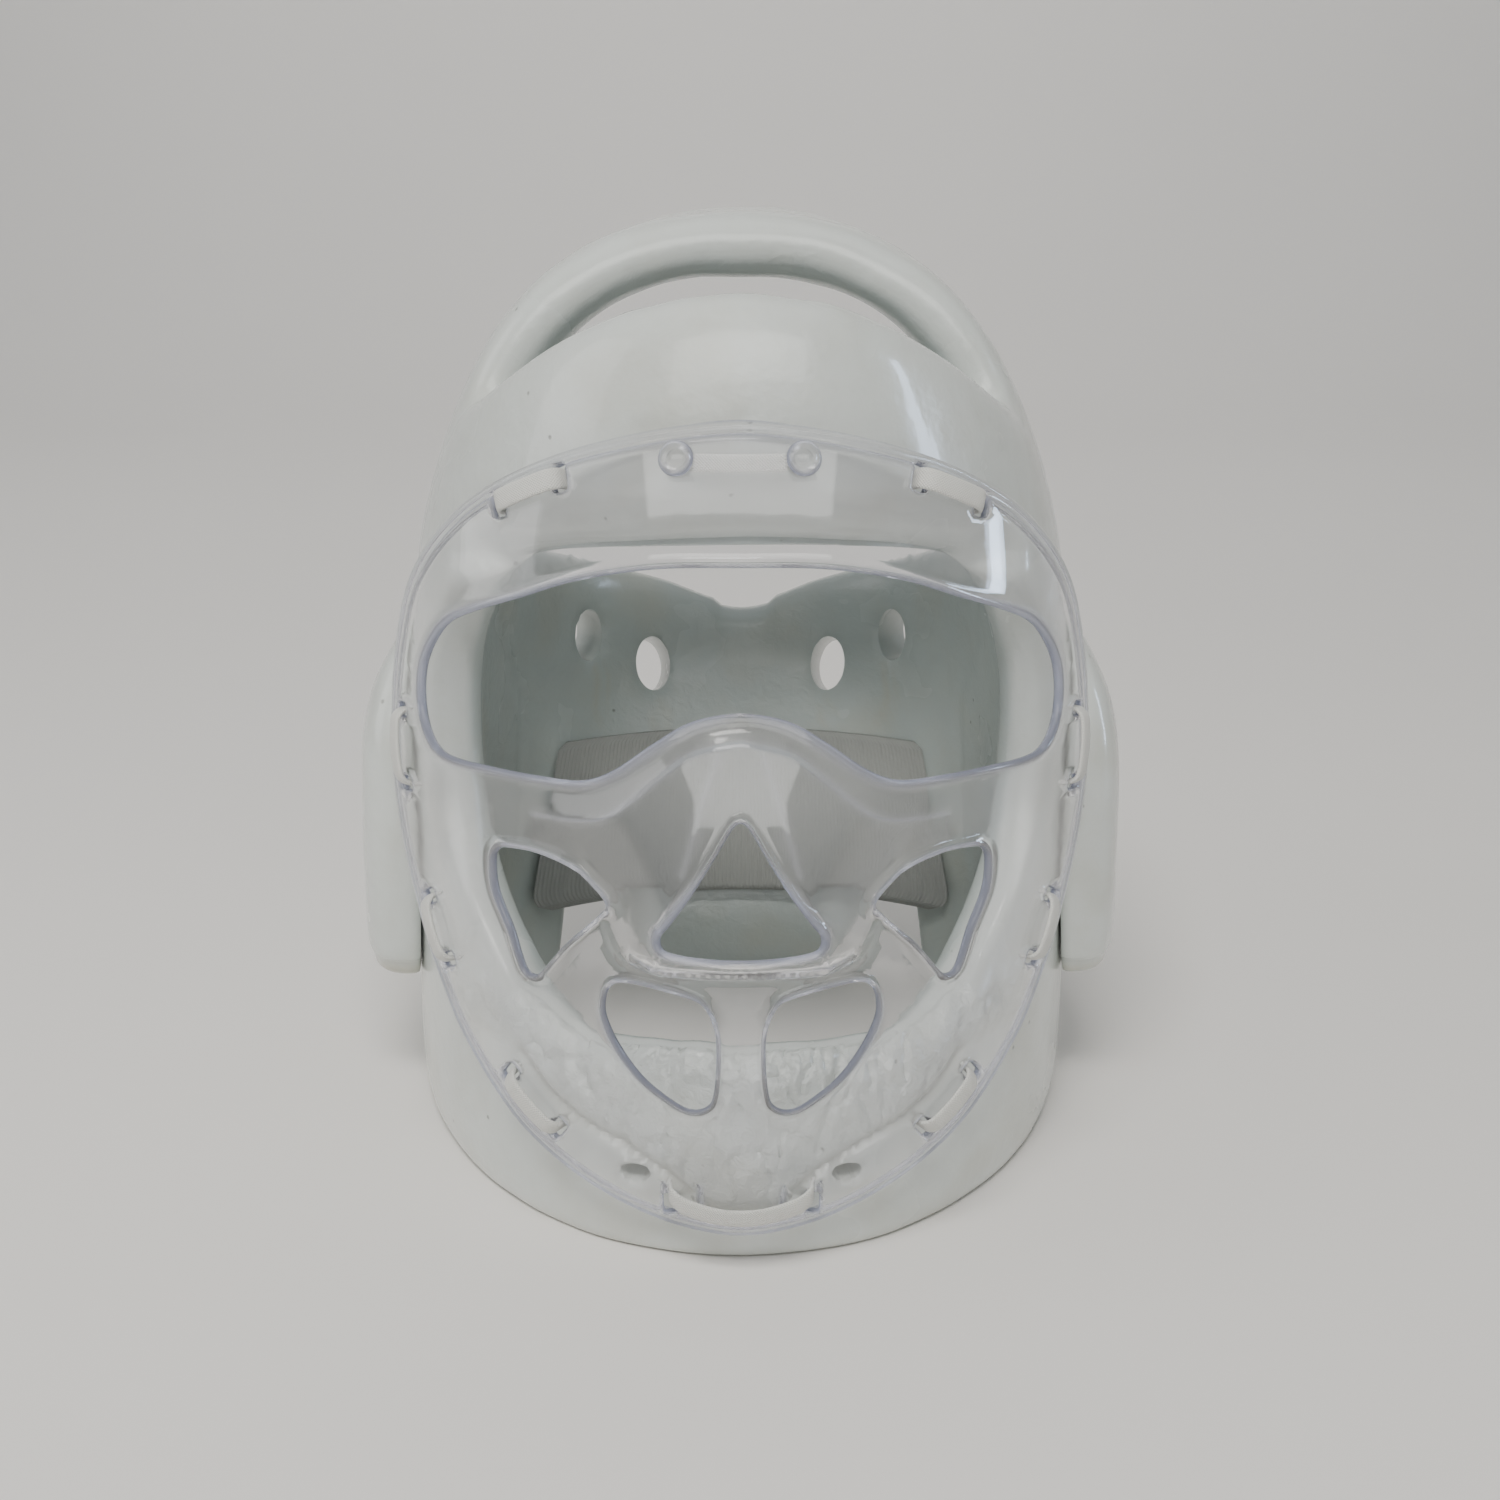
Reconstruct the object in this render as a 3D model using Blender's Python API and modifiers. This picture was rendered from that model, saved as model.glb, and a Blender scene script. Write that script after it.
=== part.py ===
"""Karate head guard: a dipped-foam shell with ear pads, a clear moulded face shield and its elastic loops.

Metres, +Z up, the face towards -Y, standing on the flat rim of its jaw and nape.
"""
import math

import bmesh
import bpy
from mathutils import Vector
from mathutils.bvhtree import BVHTree
from mathutils.geometry import delaunay_2d_cdt

# Main sizes
GUARD_HEIGHT = 0.252
SHELL_HALF_WIDTH = 0.0965
SHELL_FRONT = 0.112
SHELL_REAR = 0.1165
FOAM = 0.0165
CLEARANCE = 0.0004

# The whole guard is moved along Y by this much, so that its box is centred on the origin
CENTRE_SHIFT = 0.01337

# Plan of the shell at each height: height, half width, front and rear depth as shares of the main sizes,
# and the squareness of the rear half of the outline (2 is an ellipse)
SHELL_PLAN = (
    {"height": 0.000, "half": 1.004, "front": 1.022, "rear": 0.560, "square": 2.3},
    {"height": 0.071, "half": 1.008, "front": 1.012, "rear": 0.595, "square": 2.3},
    {"height": 0.159, "half": 1.000, "front": 0.990, "rear": 0.680, "square": 2.4},
    {"height": 0.238, "half": 0.995, "front": 0.969, "rear": 0.795, "square": 2.4},
    {"height": 0.317, "half": 0.990, "front": 0.955, "rear": 0.895, "square": 2.5},
    {"height": 0.397, "half": 0.984, "front": 0.951, "rear": 0.966, "square": 2.5},
    {"height": 0.476, "half": 0.974, "front": 0.951, "rear": 1.000, "square": 2.4},
    {"height": 0.595, "half": 0.953, "front": 0.946, "rear": 0.975, "square": 2.2},
    {"height": 0.706, "half": 0.895, "front": 0.933, "rear": 0.860, "square": 2.0},
    {"height": 0.794, "half": 0.798, "front": 0.906, "rear": 0.755, "square": 2.0},
    {"height": 0.873, "half": 0.746, "front": 0.875, "rear": 0.640, "square": 2.0},
    {"height": 0.944, "half": 0.684, "front": 0.839, "rear": 0.560, "square": 2.0},
)

# Rows of the shell: height as a share of the guard height at the front, the face edge, the hoop's front and
# rear corner, the rear quarter, the nape's shoulder and the rear middle. A row without a value does not reach
# that place, or runs straight through it.
ROWS = (
    {"front": -0.022, "edge": -0.022, "hoop_front": -0.022,
     "hoop_rear": -0.022, "quarter": -0.022, "nape": None, "rear": -0.022},
    {"front": 0.095, "edge": 0.095, "hoop_front": 0.100,
     "hoop_rear": 0.104, "quarter": 0.106, "nape": None, "rear": 0.106},
    {"front": 0.226, "edge": 0.218, "hoop_front": 0.212,
     "hoop_rear": 0.214, "quarter": 0.216, "nape": None, "rear": 0.214},
    {"front": None, "edge": 0.318, "hoop_front": 0.325,
     "hoop_rear": 0.325, "quarter": 0.312, "nape": None, "rear": 0.302},
    {"front": None, "edge": 0.445, "hoop_front": 0.452,
     "hoop_rear": 0.468, "quarter": 0.420, "nape": None, "rear": 0.384},
    {"front": None, "edge": 0.572, "hoop_front": 0.580,
     "hoop_rear": 0.628, "quarter": 0.545, "nape": 0.508, "rear": 0.435},
    {"front": 0.712, "edge": 0.670, "hoop_front": 0.676,
     "hoop_rear": 0.690, "quarter": None, "nape": None, "rear": None},
    {"front": 0.829, "edge": 0.783, "hoop_front": 0.738,
     "hoop_rear": 0.740, "quarter": None, "nape": None, "rear": None},
    {"front": 0.946, "edge": 0.893, "hoop_front": 0.804,
     "hoop_rear": 0.796, "quarter": None, "nape": None, "rear": None},
)

# Columns of the shell: plan angle in degrees from the front, and which part of the ring each belongs to
FACE_EDGE = (28.0, 28.5, 30.0, 52.0, 60.0, 62.0, 49.0, 43.0, 41.0)
HOOP_FRONT = (72.0, 73.0, 75.0, 79.0, 84.0, 84.0, 76.0, 72.0, 70.0)
HOOP_REAR = (106.0, 106.0, 106.0, 107.0, 107.0, 107.0, 106.0, 105.0, 105.0)
SLOT_EDGE = (137.0, 141.0, 144.0, 144.0, 144.0, 144.0, 144.0, 144.0, 144.0)
FRONT_SHARES = (0.0, 0.36, 0.70, 1.0)
CHEEK_SHARES = (0.34, 0.68)
HOOP_SHARES = (0.0, 0.33, 0.66, 1.0)
FLANK_SHARES = (0.34, 0.67, 1.0)
NAPE_ANGLES = (152.0, 166.0, 180.0)
ELLIPSE = 2.0
PROBE_TURN = 2.0
PROBE_RISE = 0.02
CHIN_TOP_ROW = 2
BAND_ROW = 6
REAR_TOP_ROW = 5
SLOT_TOP_ROW = 2

# Crown hoop: points of its arch as shares of the shell half width and the guard height, and its front and
# rear edge there as shares of the shell front
HOOP_ARCH = (
    {"side": 0.610, "height": 0.862, "front": -0.285, "rear": 0.205},
    {"side": 0.455, "height": 0.926, "front": -0.272, "rear": 0.222},
    {"side": 0.234, "height": 0.962, "front": -0.262, "rear": 0.236},
    {"side": 0.000, "height": 0.971, "front": -0.258, "rear": 0.240},
)

# Vents of the rear wall: side position as a share of the shell half width, height as a share of the guard
# height, and the width and height of the oval
REAR_VENTS = (
    {"side": 0.336, "height": 0.380, "width": 0.0120, "tall": 0.0185},
    {"side": 0.590, "height": 0.440, "width": 0.0115, "tall": 0.0180},
)
CHIN_VENT_SIDE = 0.0245
CHIN_VENT_HEIGHT = 0.0235
CHIN_VENT_WIDTH = 0.0078
CHIN_VENT_TALL = 0.0050

# Ear pads: height from the floor, half length along Y, and how far they stand out of the shell's half width
# as a share of their thickness
EAR_BOTTOM = 0.0415
EAR_TALL = 0.1010
EAR_HALF_LENGTH = 0.0375
EAR_THICK = 0.0135
EAR_CENTRE_Y = -0.0050
EAR_SECTIONS = (
    {"height": 0.000, "length": 0.700, "stand": 0.389},
    {"height": 0.018, "length": 0.830, "stand": 0.878},
    {"height": 0.064, "length": 0.880, "stand": 0.919},
    {"height": 0.082, "length": 0.915, "stand": 1.000},
    {"height": 0.200, "length": 0.965, "stand": 0.992},
    {"height": 0.360, "length": 1.000, "stand": 0.951},
    {"height": 0.520, "length": 0.995, "stand": 0.902},
    {"height": 0.680, "length": 0.930, "stand": 0.821},
    {"height": 0.800, "length": 0.820, "stand": 0.617},
    {"height": 0.890, "length": 0.670, "stand": 0.307},
    {"height": 0.960, "length": 0.460, "stand": -0.043},
    {"height": 1.000, "length": 0.230, "stand": -0.239},
)

# Clear shield
SHIELD_INSET = 0.0045
SHIELD_HALF_WIDTH = SHELL_HALF_WIDTH - SHIELD_INSET
SHIELD_LOW = 0.0095
SHIELD_TOP = 0.2110
SHIELD_WALL = 0.0028
SHIELD_STAND = 0.0125
SHIELD_FRONT = SHELL_FRONT + SHIELD_STAND
SHIELD_PLAN_WIDTH = SHIELD_HALF_WIDTH * 1.125
FLANGE = 0.0034
FLANGE_STEP = 0.0016
FLANGE_BEND = 0.0028
FLANGE_RING = 0.0024

# Lengths of the facets along the shield's rim and openings and across its face
SHIELD_MESH = 0.0085
RIM_FACET = 0.0105
EYE_FACET = 0.0068
NOSE_FACET = 0.0048
VENT_FACET = 0.0056

# Side view and plan of the shield: height, front depth and plan half width as shares of the shield's sizes
SHIELD_PROFILE = (
    {"height": 0.000, "front": 0.9415, "width": 0.990},
    {"height": 0.075, "front": 0.968, "width": 0.992},
    {"height": 0.220, "front": 0.989, "width": 0.996},
    {"height": 0.360, "front": 1.000, "width": 0.998},
    {"height": 0.500, "front": 0.990, "width": 1.000},
    {"height": 0.640, "front": 0.962, "width": 0.988},
    {"height": 0.830, "front": 0.906, "width": 0.951},
    {"height": 0.930, "front": 0.867, "width": 0.915},
    {"height": 1.000, "front": 0.8245, "width": 0.880},
)

# Outlines of the shield seen from the front: side and height, as shares of the half width and the height
# between the lowest and highest point of the rim
RIM_OUTLINE = (
    (0.000, 1.000), (0.160, 0.993), (0.327, 0.976), (0.470, 0.954), (0.600, 0.925), (0.707, 0.892),
    (0.797, 0.852), (0.868, 0.809), (0.918, 0.765), (0.953, 0.712), (0.980, 0.650), (0.996, 0.581),
    (1.000, 0.517), (0.986, 0.464), (0.962, 0.412), (0.932, 0.365), (0.896, 0.313), (0.850, 0.265),
    (0.805, 0.222), (0.751, 0.186), (0.683, 0.147), (0.610, 0.113), (0.520, 0.084), (0.425, 0.060),
    (0.300, 0.034), (0.160, 0.012), (0.000, 0.000),
)
EYE_OUTLINE = (
    (0.000, 0.845), (0.203, 0.841), (0.393, 0.822), (0.550, 0.793), (0.672, 0.768), (0.752, 0.745),
    (0.805, 0.712), (0.835, 0.678), (0.842, 0.640), (0.828, 0.609), (0.795, 0.591), (0.740, 0.588),
    (0.640, 0.592), (0.520, 0.595), (0.434, 0.597), (0.368, 0.604), (0.300, 0.621), (0.205, 0.653),
    (0.112, 0.678), (0.000, 0.687),
)
NOSE_VENT = (
    (0.000, 0.583), (0.022, 0.575), (0.060, 0.547), (0.115, 0.507), (0.170, 0.470), (0.190, 0.456),
    (0.186, 0.443), (0.150, 0.438), (0.080, 0.435), (0.000, 0.434),
)
CHEEK_VENT = (
    (0.634, 0.478), (0.620, 0.494), (0.592, 0.500), (0.500, 0.504), (0.420, 0.499), (0.345, 0.480),
    (0.325, 0.467), (0.345, 0.451), (0.432, 0.408), (0.505, 0.359), (0.526, 0.348), (0.553, 0.347),
    (0.572, 0.368), (0.590, 0.397), (0.629, 0.441),
)
MOUTH_VENT = (
    (0.343, 0.336), (0.330, 0.358), (0.297, 0.368), (0.216, 0.365), (0.120, 0.354), (0.087, 0.341),
    (0.065, 0.311), (0.063, 0.266), (0.072, 0.221), (0.089, 0.205), (0.123, 0.199), (0.167, 0.207),
    (0.248, 0.238), (0.307, 0.278), (0.339, 0.313),
)

# Nose dome: height on the shield, half width of its ridge, and how far it stands out as a share of its depth
DOME_OUT = 0.0118
NOSE_DOME = (
    {"height": 0.340, "half": 0.200, "out": 0.000},
    {"height": 0.392, "half": 0.205, "out": 0.170},
    {"height": 0.415, "half": 0.205, "out": 0.975},
    {"height": 0.470, "half": 0.190, "out": 1.000},
    {"height": 0.583, "half": 0.090, "out": 0.805},
    {"height": 0.650, "half": 0.030, "out": 0.254},
    {"height": 0.690, "half": 0.010, "out": 0.000},
)
DOME_SLOPE = 0.016

# Step under the eye opening: how far it stands out, and the shares of height and side over which it rises
BROW_STEP = 0.0026
STEP_RUN = 0.040
STEP_LOW = {"from": 0.12, "over": 0.30}
STEP_SIDE = {"from": 0.42, "over": 0.25}

# Elastic loops: the two rim slots each one runs between, as shares of the shield's half width and height
TAPE = 0.0050
TAPE_THICK = 0.0013
SLOT_LONG = 0.0062
SLOT_SHORT = 0.0034
LOOPS = (
    {"name": "elastic_brow", "first": (0.440, 0.930), "second": (0.602, 0.894)},
    {"name": "elastic_cheek", "first": (0.925, 0.612), "second": (0.915, 0.520)},
    {"name": "elastic_jaw", "first": (0.852, 0.386), "second": (0.800, 0.312)},
    {"name": "elastic_mouth", "first": (0.622, 0.192), "second": (0.492, 0.136)},
)
# Path of a loop: share of the way between its slots, and its height off the shield's middle as a share of the
# least height at which it clears the wall
LOOP_PATH = (
    {"along": 0.00, "off": -1.05}, {"along": 0.00, "off": 0.00}, {"along": 0.00, "off": 0.75},
    {"along": 0.12, "off": 1.25}, {"along": 0.50, "off": 1.30}, {"along": 0.88, "off": 1.25},
    {"along": 1.00, "off": 0.75}, {"along": 1.00, "off": 0.00}, {"along": 1.00, "off": -1.05},
)
CHIN_LOOP_SIDE = 0.190
CHIN_LOOP_HEIGHT = 0.058
BUTTON_SIDE = 0.149
BUTTON_HEIGHT = 0.957
BUTTON_RADIUS = 0.0040
BUTTON_DOME = 0.0022
PIN_RADIUS = 0.0016

# Side view of a fixing's domed head: shares of its radius and of its dome's height
BUTTON_HEAD = (
    {"radius": 0.55, "rise": 0.88}, {"radius": 0.88, "rise": 0.50}, {"radius": 1.00, "rise": 0.12},
    {"radius": 0.94, "rise": 0.00},
)

# Ribbed elastic panel inside the nape
STRAP_TOP = 0.0785
STRAP_LOW = 0.0300
STRAP_TOP_HALF = 0.0605
STRAP_LOW_HALF = 0.0690
STRAP_THICK = 0.0024


def mix(a, b, share):
    return a + (b - a) * share


def smooth(value):
    value = max(0.0, min(1.0, value))
    return value * value * (3.0 - 2.0 * value)


def read(table, at, column, key="height"):
    """A column of a table at a place between its rows."""
    if at <= table[0][key]:
        return table[0][column]
    for low, high in zip(table, table[1:]):
        if at <= high[key]:
            return mix(low[column], high[column], (at - low[key]) / (high[key] - low[key]))
    return table[-1][column]


def rounded(points, per_span, closed=True):
    """A smooth line through the points, as a Catmull-Rom curve."""
    count = len(points)
    out = []
    spans = count if closed else count - 1
    for i in range(spans):
        if closed:
            p0, p1, p2, p3 = (points[(i + k) % count] for k in (-1, 0, 1, 2))
        else:
            p0, p1, p2, p3 = (points[min(max(i + k, 0), count - 1)] for k in (-1, 0, 1, 2))
        for j in range(per_span):
            s = j / per_span
            out.append(tuple(
                0.5 * (2 * b + (c - a) * s + (2 * a - 5 * b + 4 * c - d) * s * s + (3 * b - a - 3 * c + d) * s ** 3)
                for a, b, c, d in zip(p0, p1, p2, p3)))
    if not closed:
        out.append(tuple(points[-1]))
    return out


def even(points, step):
    """The same closed line with corners about one step apart."""
    count = len(points)
    lengths = [math.dist(points[i], points[(i + 1) % count]) for i in range(count)]
    total = sum(lengths)
    pieces = max(6, 2 * round(total / step / 2))
    out = []
    i, gone = 0, 0.0
    for k in range(pieces):
        target = total * k / pieces
        while gone + lengths[i] < target:
            gone += lengths[i]
            i += 1
        share = (target - gone) / lengths[i]
        a, b = points[i], points[(i + 1) % count]
        out.append(tuple(mix(p, q, share) for p, q in zip(a, b)))
    return out


def new_object(name, bm, collection):
    """A named object from a bmesh, moved to the centred frame."""
    bmesh.ops.recalc_face_normals(bm, faces=bm.faces)
    if bm.calc_volume(signed=True) < 0:
        bmesh.ops.reverse_faces(bm, faces=bm.faces)
    mesh = bpy.data.meshes.new(name)
    bm.to_mesh(mesh)
    bm.free()
    obj = bpy.data.objects.new(name, mesh)
    collection.objects.link(obj)
    return obj


def grid_faces(bm, rows, wrap=False):
    """Quads between rows of vertices of the same length."""
    for low, high in zip(rows, rows[1:]):
        last = len(low) if wrap else len(low) - 1
        for i in range(last):
            j = (i + 1) % len(low)
            bm.faces.new((low[i], low[j], high[j], high[i]))


# Shell


def plan_point(height, angle, inset, swell=1.0):
    """A point of the shell's plan at a height share and plan angle in degrees, moved in by the inset."""
    turn = math.radians(angle)
    s, c = math.sin(turn), math.cos(turn)
    half = SHELL_HALF_WIDTH * read(SHELL_PLAN, height, "half") - inset
    if c >= 0:
        front = SHELL_FRONT * read(SHELL_PLAN, height, "front") - inset
        x, y = half * s, -front * c
    else:
        power = ELLIPSE / mix(ELLIPSE, read(SHELL_PLAN, height, "square"), smooth(-c * ELLIPSE))
        rear = SHELL_REAR * read(SHELL_PLAN, height, "rear") - inset
        x, y = half * abs(s) ** power, rear * abs(c) ** power
    return Vector((x * swell, y * swell, height * GUARD_HEIGHT))


def shell_columns(row):
    """Plan angles of one half of a row, from the front to the rear."""
    edge, front, rear, slot = FACE_EDGE[row], HOOP_FRONT[row], HOOP_REAR[row], SLOT_EDGE[row]
    angles = [edge * share for share in FRONT_SHARES]
    angles += [mix(edge, front, share) for share in CHEEK_SHARES]
    angles += [mix(front, rear, share) for share in HOOP_SHARES]
    angles += [mix(rear, slot, share) for share in FLANK_SHARES]
    return angles + list(NAPE_ANGLES)


def row_height(row, column, angle):
    """Height share of a row at a column, read between the named places of its row."""
    edge = FACE_EDGE[row]
    places = (("front", 0.0), ("edge", edge), ("hoop_front", HOOP_FRONT[row]),
              ("hoop_rear", HOOP_REAR[row]), ("quarter", SLOT_EDGE[row]), ("nape", NAPE_ANGLES[1]),
              ("rear", NAPE_ANGLES[-1]))
    known = [(at, ROWS[row][name]) for name, at in places if ROWS[row][name] is not None]
    if angle <= known[0][0]:
        return known[0][1]
    for (a, low), (b, high) in zip(known, known[1:]):
        if angle <= b:
            share = (angle - a) / (b - a)
            return mix(low, high, share ** 2 if a == 0.0 else share)
    return known[-1][1]


def cell_open(row, column):
    """Whether the cell above a row and behind a column is one of the shell's openings."""
    edge = len(FRONT_SHARES) - 1
    hoop_front = edge + len(CHEEK_SHARES) + 1
    hoop_rear = hoop_front + len(HOOP_SHARES) - 1
    slot = hoop_rear + len(FLANK_SHARES)
    if column < edge:
        return CHIN_TOP_ROW <= row < BAND_ROW
    if column >= hoop_rear and row >= REAR_TOP_ROW:
        return True
    return column == slot and row < SLOT_TOP_ROW


def shell_middle():
    """The shell's middle surface as a coarse cage: the ring with its openings and the hoop over the crown."""
    bm = bmesh.new()
    swell = 1.010
    count = len(shell_columns(0))
    ring = 2 * (count - 1)
    grid = []
    for row in range(len(ROWS)):
        angles = shell_columns(row)
        line = []
        for column in range(ring):
            k = column if column < count else ring - column
            side = 1.0 if column < count else -1.0
            height = row_height(row, k, angles[k])
            point = plan_point(height, angles[k], FOAM / 2, swell)
            point.x *= side
            line.append(bm.verts.new(point))
        grid.append(line)
    for row in range(len(ROWS) - 1):
        for column in range(ring):
            k = column if column < count - 1 else ring - 1 - column
            if cell_open(row, k):
                continue
            after = (column + 1) % ring
            bm.faces.new((grid[row][column], grid[row][after], grid[row + 1][after], grid[row + 1][column]))
    first = len(FRONT_SHARES) + len(CHEEK_SHARES)
    width = len(HOOP_SHARES)
    right = [grid[-1][first + k] for k in range(width)]
    left = [grid[-1][ring - first - k] for k in range(width)]
    arch = list(HOOP_ARCH) + [dict(row, side=-row["side"]) for row in reversed(HOOP_ARCH[:-1])]
    rows = [right]
    for row in arch:
        line = []
        for k in range(width):
            share = k / (width - 1)
            line.append(bm.verts.new((row["side"] * SHELL_HALF_WIDTH,
                                      mix(row["front"], row["rear"], share) * SHELL_FRONT,
                                      row["height"] * GUARD_HEIGHT)))
        rows.append(line)
    rows.append(left)
    grid_faces(bm, rows)
    loose = [v for v in bm.verts if not v.link_faces]
    bmesh.ops.delete(bm, geom=loose, context="VERTS")
    bmesh.ops.recalc_face_normals(bm, faces=bm.faces)
    middle = Vector((0, 0, GUARD_HEIGHT * 0.4))
    if sum(f.normal.dot(f.calc_center_median() - middle) for f in bm.faces) < 0:
        bmesh.ops.reverse_faces(bm, faces=bm.faces)
    return bm


def baked(obj):
    """The object's shape with its modifiers, as a bmesh."""
    graph = bpy.context.evaluated_depsgraph_get()
    bm = bmesh.new()
    bm.from_object(obj, graph)
    return bm


def build_shell(collection, work):
    """The foam body: the cage thickened and rounded, pressed flat where it stands."""
    mesh = bpy.data.meshes.new("shell_cage")
    cage = shell_middle()
    cage.to_mesh(mesh)
    cage.free()
    cage_object = bpy.data.objects.new("shell_cage", mesh)
    work.objects.link(cage_object)
    thick = cage_object.modifiers.new("wall", "SOLIDIFY")
    thick.thickness = FOAM
    thick.offset = 0.0
    thick.use_even_offset = True
    soft = cage_object.modifiers.new("round", "SUBSURF")
    soft.levels = 1
    soft.render_levels = 1
    bpy.context.view_layer.update()
    bm = baked(cage_object)
    for v in bm.verts:
        v.co.z = max(v.co.z, 0.0)
    bpy.data.objects.remove(cage_object)
    return new_object("foam_shell", bm, collection)


def oval_cutter(name, centre, axis, width, tall, reach, work):
    """An oval rod used to cut a vent, standing along the given axis."""
    axis = axis.normalized()
    across = axis.cross(Vector((0, 0, 1))).normalized()
    up = across.cross(axis).normalized()
    bm = bmesh.new()
    rings = []
    for end in (-reach, reach):
        ring = []
        for k in range(16):
            turn = 2 * math.pi * k / 16
            ring.append(bm.verts.new(centre + axis * end + across * (width / 2 * math.cos(turn))
                                     + up * (tall / 2 * math.sin(turn))))
        rings.append(ring)
    grid_faces(bm, rings, wrap=True)
    bm.faces.new(rings[0])
    bm.faces.new(rings[1])
    cutter = new_object(name, bm, work)
    cutter.hide_render = True
    cutter.display_type = "WIRE"
    return cutter


def rear_wall(side, height):
    """Middle of the rear wall at a side position and height, and the way out of it."""
    low, high = 91.0, 179.0
    for _ in range(40):
        middle = (low + high) / 2
        if plan_point(height, middle, FOAM / 2).x > side:
            low = middle
        else:
            high = middle
    here = plan_point(height, low, FOAM / 2)
    along = plan_point(height, low + PROBE_TURN, FOAM / 2) - plan_point(height, low - PROBE_TURN, FOAM / 2)
    rise = plan_point(height + PROBE_RISE, low, FOAM / 2) - plan_point(height - PROBE_RISE, low, FOAM / 2)
    out = along.cross(rise)
    if out.y < 0:
        out.negate()
    return here, out.normalized()


def cut_vents(shell, work):
    """The four oval vents of the rear wall and the two small ones of the chin."""
    for index, vent in enumerate(REAR_VENTS):
        for side, label in ((1.0, "right"), (-1.0, "left")):
            centre, out = rear_wall(vent["side"] * SHELL_HALF_WIDTH, vent["height"])
            centre.x *= side
            out.x *= side
            cutter = oval_cutter(f"rear_vent_{index + 1}_{label}_cutter", centre, out, vent["width"], vent["tall"],
                                 FOAM, work)
            add_cut(shell, cutter)
    for side, label in ((1.0, "right"), (-1.0, "left")):
        centre = Vector((side * CHIN_VENT_SIDE, -SHELL_FRONT * 0.88, CHIN_VENT_HEIGHT))
        cutter = oval_cutter(f"chin_vent_{label}_cutter", centre, Vector((side * 0.2, -1.0, 0.0)), CHIN_VENT_WIDTH,
                             CHIN_VENT_TALL, FOAM * 1.3, work)
        add_cut(shell, cutter)


def add_cut(obj, cutter):
    cut = obj.modifiers.new(cutter.name, "BOOLEAN")
    cut.operation = "DIFFERENCE"
    cut.solver = "EXACT"
    cut.object = cutter


def build_ear_pads(collection, surface):
    """The two ear cups, lofted from sections whose backs follow the shell's side."""
    outer, inner = 15, 8
    for side, label in ((1.0, "right"), (-1.0, "left")):
        bm = bmesh.new()
        rings = []
        for section in EAR_SECTIONS:
            z = EAR_BOTTOM + section["height"] * EAR_TALL
            half = EAR_HALF_LENGTH * section["length"]
            reach = SHELL_HALF_WIDTH + EAR_THICK * section["stand"]
            back = []
            for k in range(inner):
                y = EAR_CENTRE_Y + mix(half, -half, k / (inner - 1))
                hit = surface.ray_cast(Vector((side * 0.3, y, z)), Vector((-side, 0, 0)))[0]
                back.append(Vector((hit.x * side + CLEARANCE * 2.0, y, z)))
            ring = []
            for k in range(outer):
                turn = math.pi * (k + 0.5) / outer
                y = EAR_CENTRE_Y - half * 1.02 * math.copysign(abs(math.cos(turn)) ** 0.8, math.cos(turn))
                depth = abs(math.sin(turn)) ** 0.55
                base = mix(back[-1].x, back[0].x, k / (outer - 1))
                x = mix(base, max(reach, base + 0.001), depth)
                ring.append(bm.verts.new((x * side, y, z)))
            ring += [bm.verts.new((p.x * side, p.y, p.z)) for p in back]
            rings.append(ring)
        grid_faces(bm, rings, wrap=True)
        bm.faces.new(rings[0])
        bm.faces.new(rings[-1])
        new_object(f"ear_pad_{label}", bm, collection)


# Shield


def shield_base(x, z):
    """Depth of the shield's plain bowl at a front-view position."""
    height = (z - SHIELD_LOW) / (SHIELD_TOP - SHIELD_LOW)
    front = SHIELD_FRONT * read(SHIELD_PROFILE, height, "front")
    width = SHIELD_PLAN_WIDTH * read(SHIELD_PROFILE, height, "width")
    return -front * math.sqrt(max(1.0 - (x / width) ** 2, 0.02))


EYE_LOW = tuple({"side": s, "height": h} for s, h in sorted(EYE_OUTLINE[11:]))


def shield_raise(x, z):
    """How far the nose dome and the step under the eye opening stand out of the bowl."""
    height = (z - SHIELD_LOW) / (SHIELD_TOP - SHIELD_LOW)
    side = abs(x) / SHIELD_HALF_WIDTH
    half = read(NOSE_DOME, height, "half") * SHIELD_HALF_WIDTH
    dome = DOME_OUT * read(NOSE_DOME, height, "out") * (1.0 - smooth((abs(x) - half) / DOME_SLOPE))
    edge = read(EYE_LOW, side, "height", "side")
    step = BROW_STEP * smooth((edge - height) / STEP_RUN)
    step *= smooth((height - STEP_LOW["from"]) / STEP_LOW["over"])
    step *= 1.0 - smooth((side - STEP_SIDE["from"]) / STEP_SIDE["over"])
    return dome + step


def shield_point(x, z, off=0.0):
    """A point of the shield's middle surface, moved out along its normal."""
    def place(px, pz):
        return Vector((px, shield_base(px, pz) - shield_raise(px, pz), pz))
    here = place(x, z)
    if off:
        d = 0.0012
        wide = place(x + d, z) - place(x - d, z)
        tall = place(x, z + d) - place(x, z - d)
        out = wide.cross(tall).normalized()
        if out.y > 0:
            out.negate()
        here += out * off
    return here


def front_line(outline, mirrored, step, per_span=3):
    """An outline of the shield's front view in metres: a closed loop, or half of one to be mirrored."""
    scale = (SHIELD_HALF_WIDTH, SHIELD_TOP - SHIELD_LOW)
    points = [(s * scale[0], SHIELD_LOW + h * scale[1]) for s, h in outline]
    if mirrored:
        points = points + [(-x, z) for x, z in reversed(points[1:-1])]
    return even(rounded(points, per_span), step)


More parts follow.
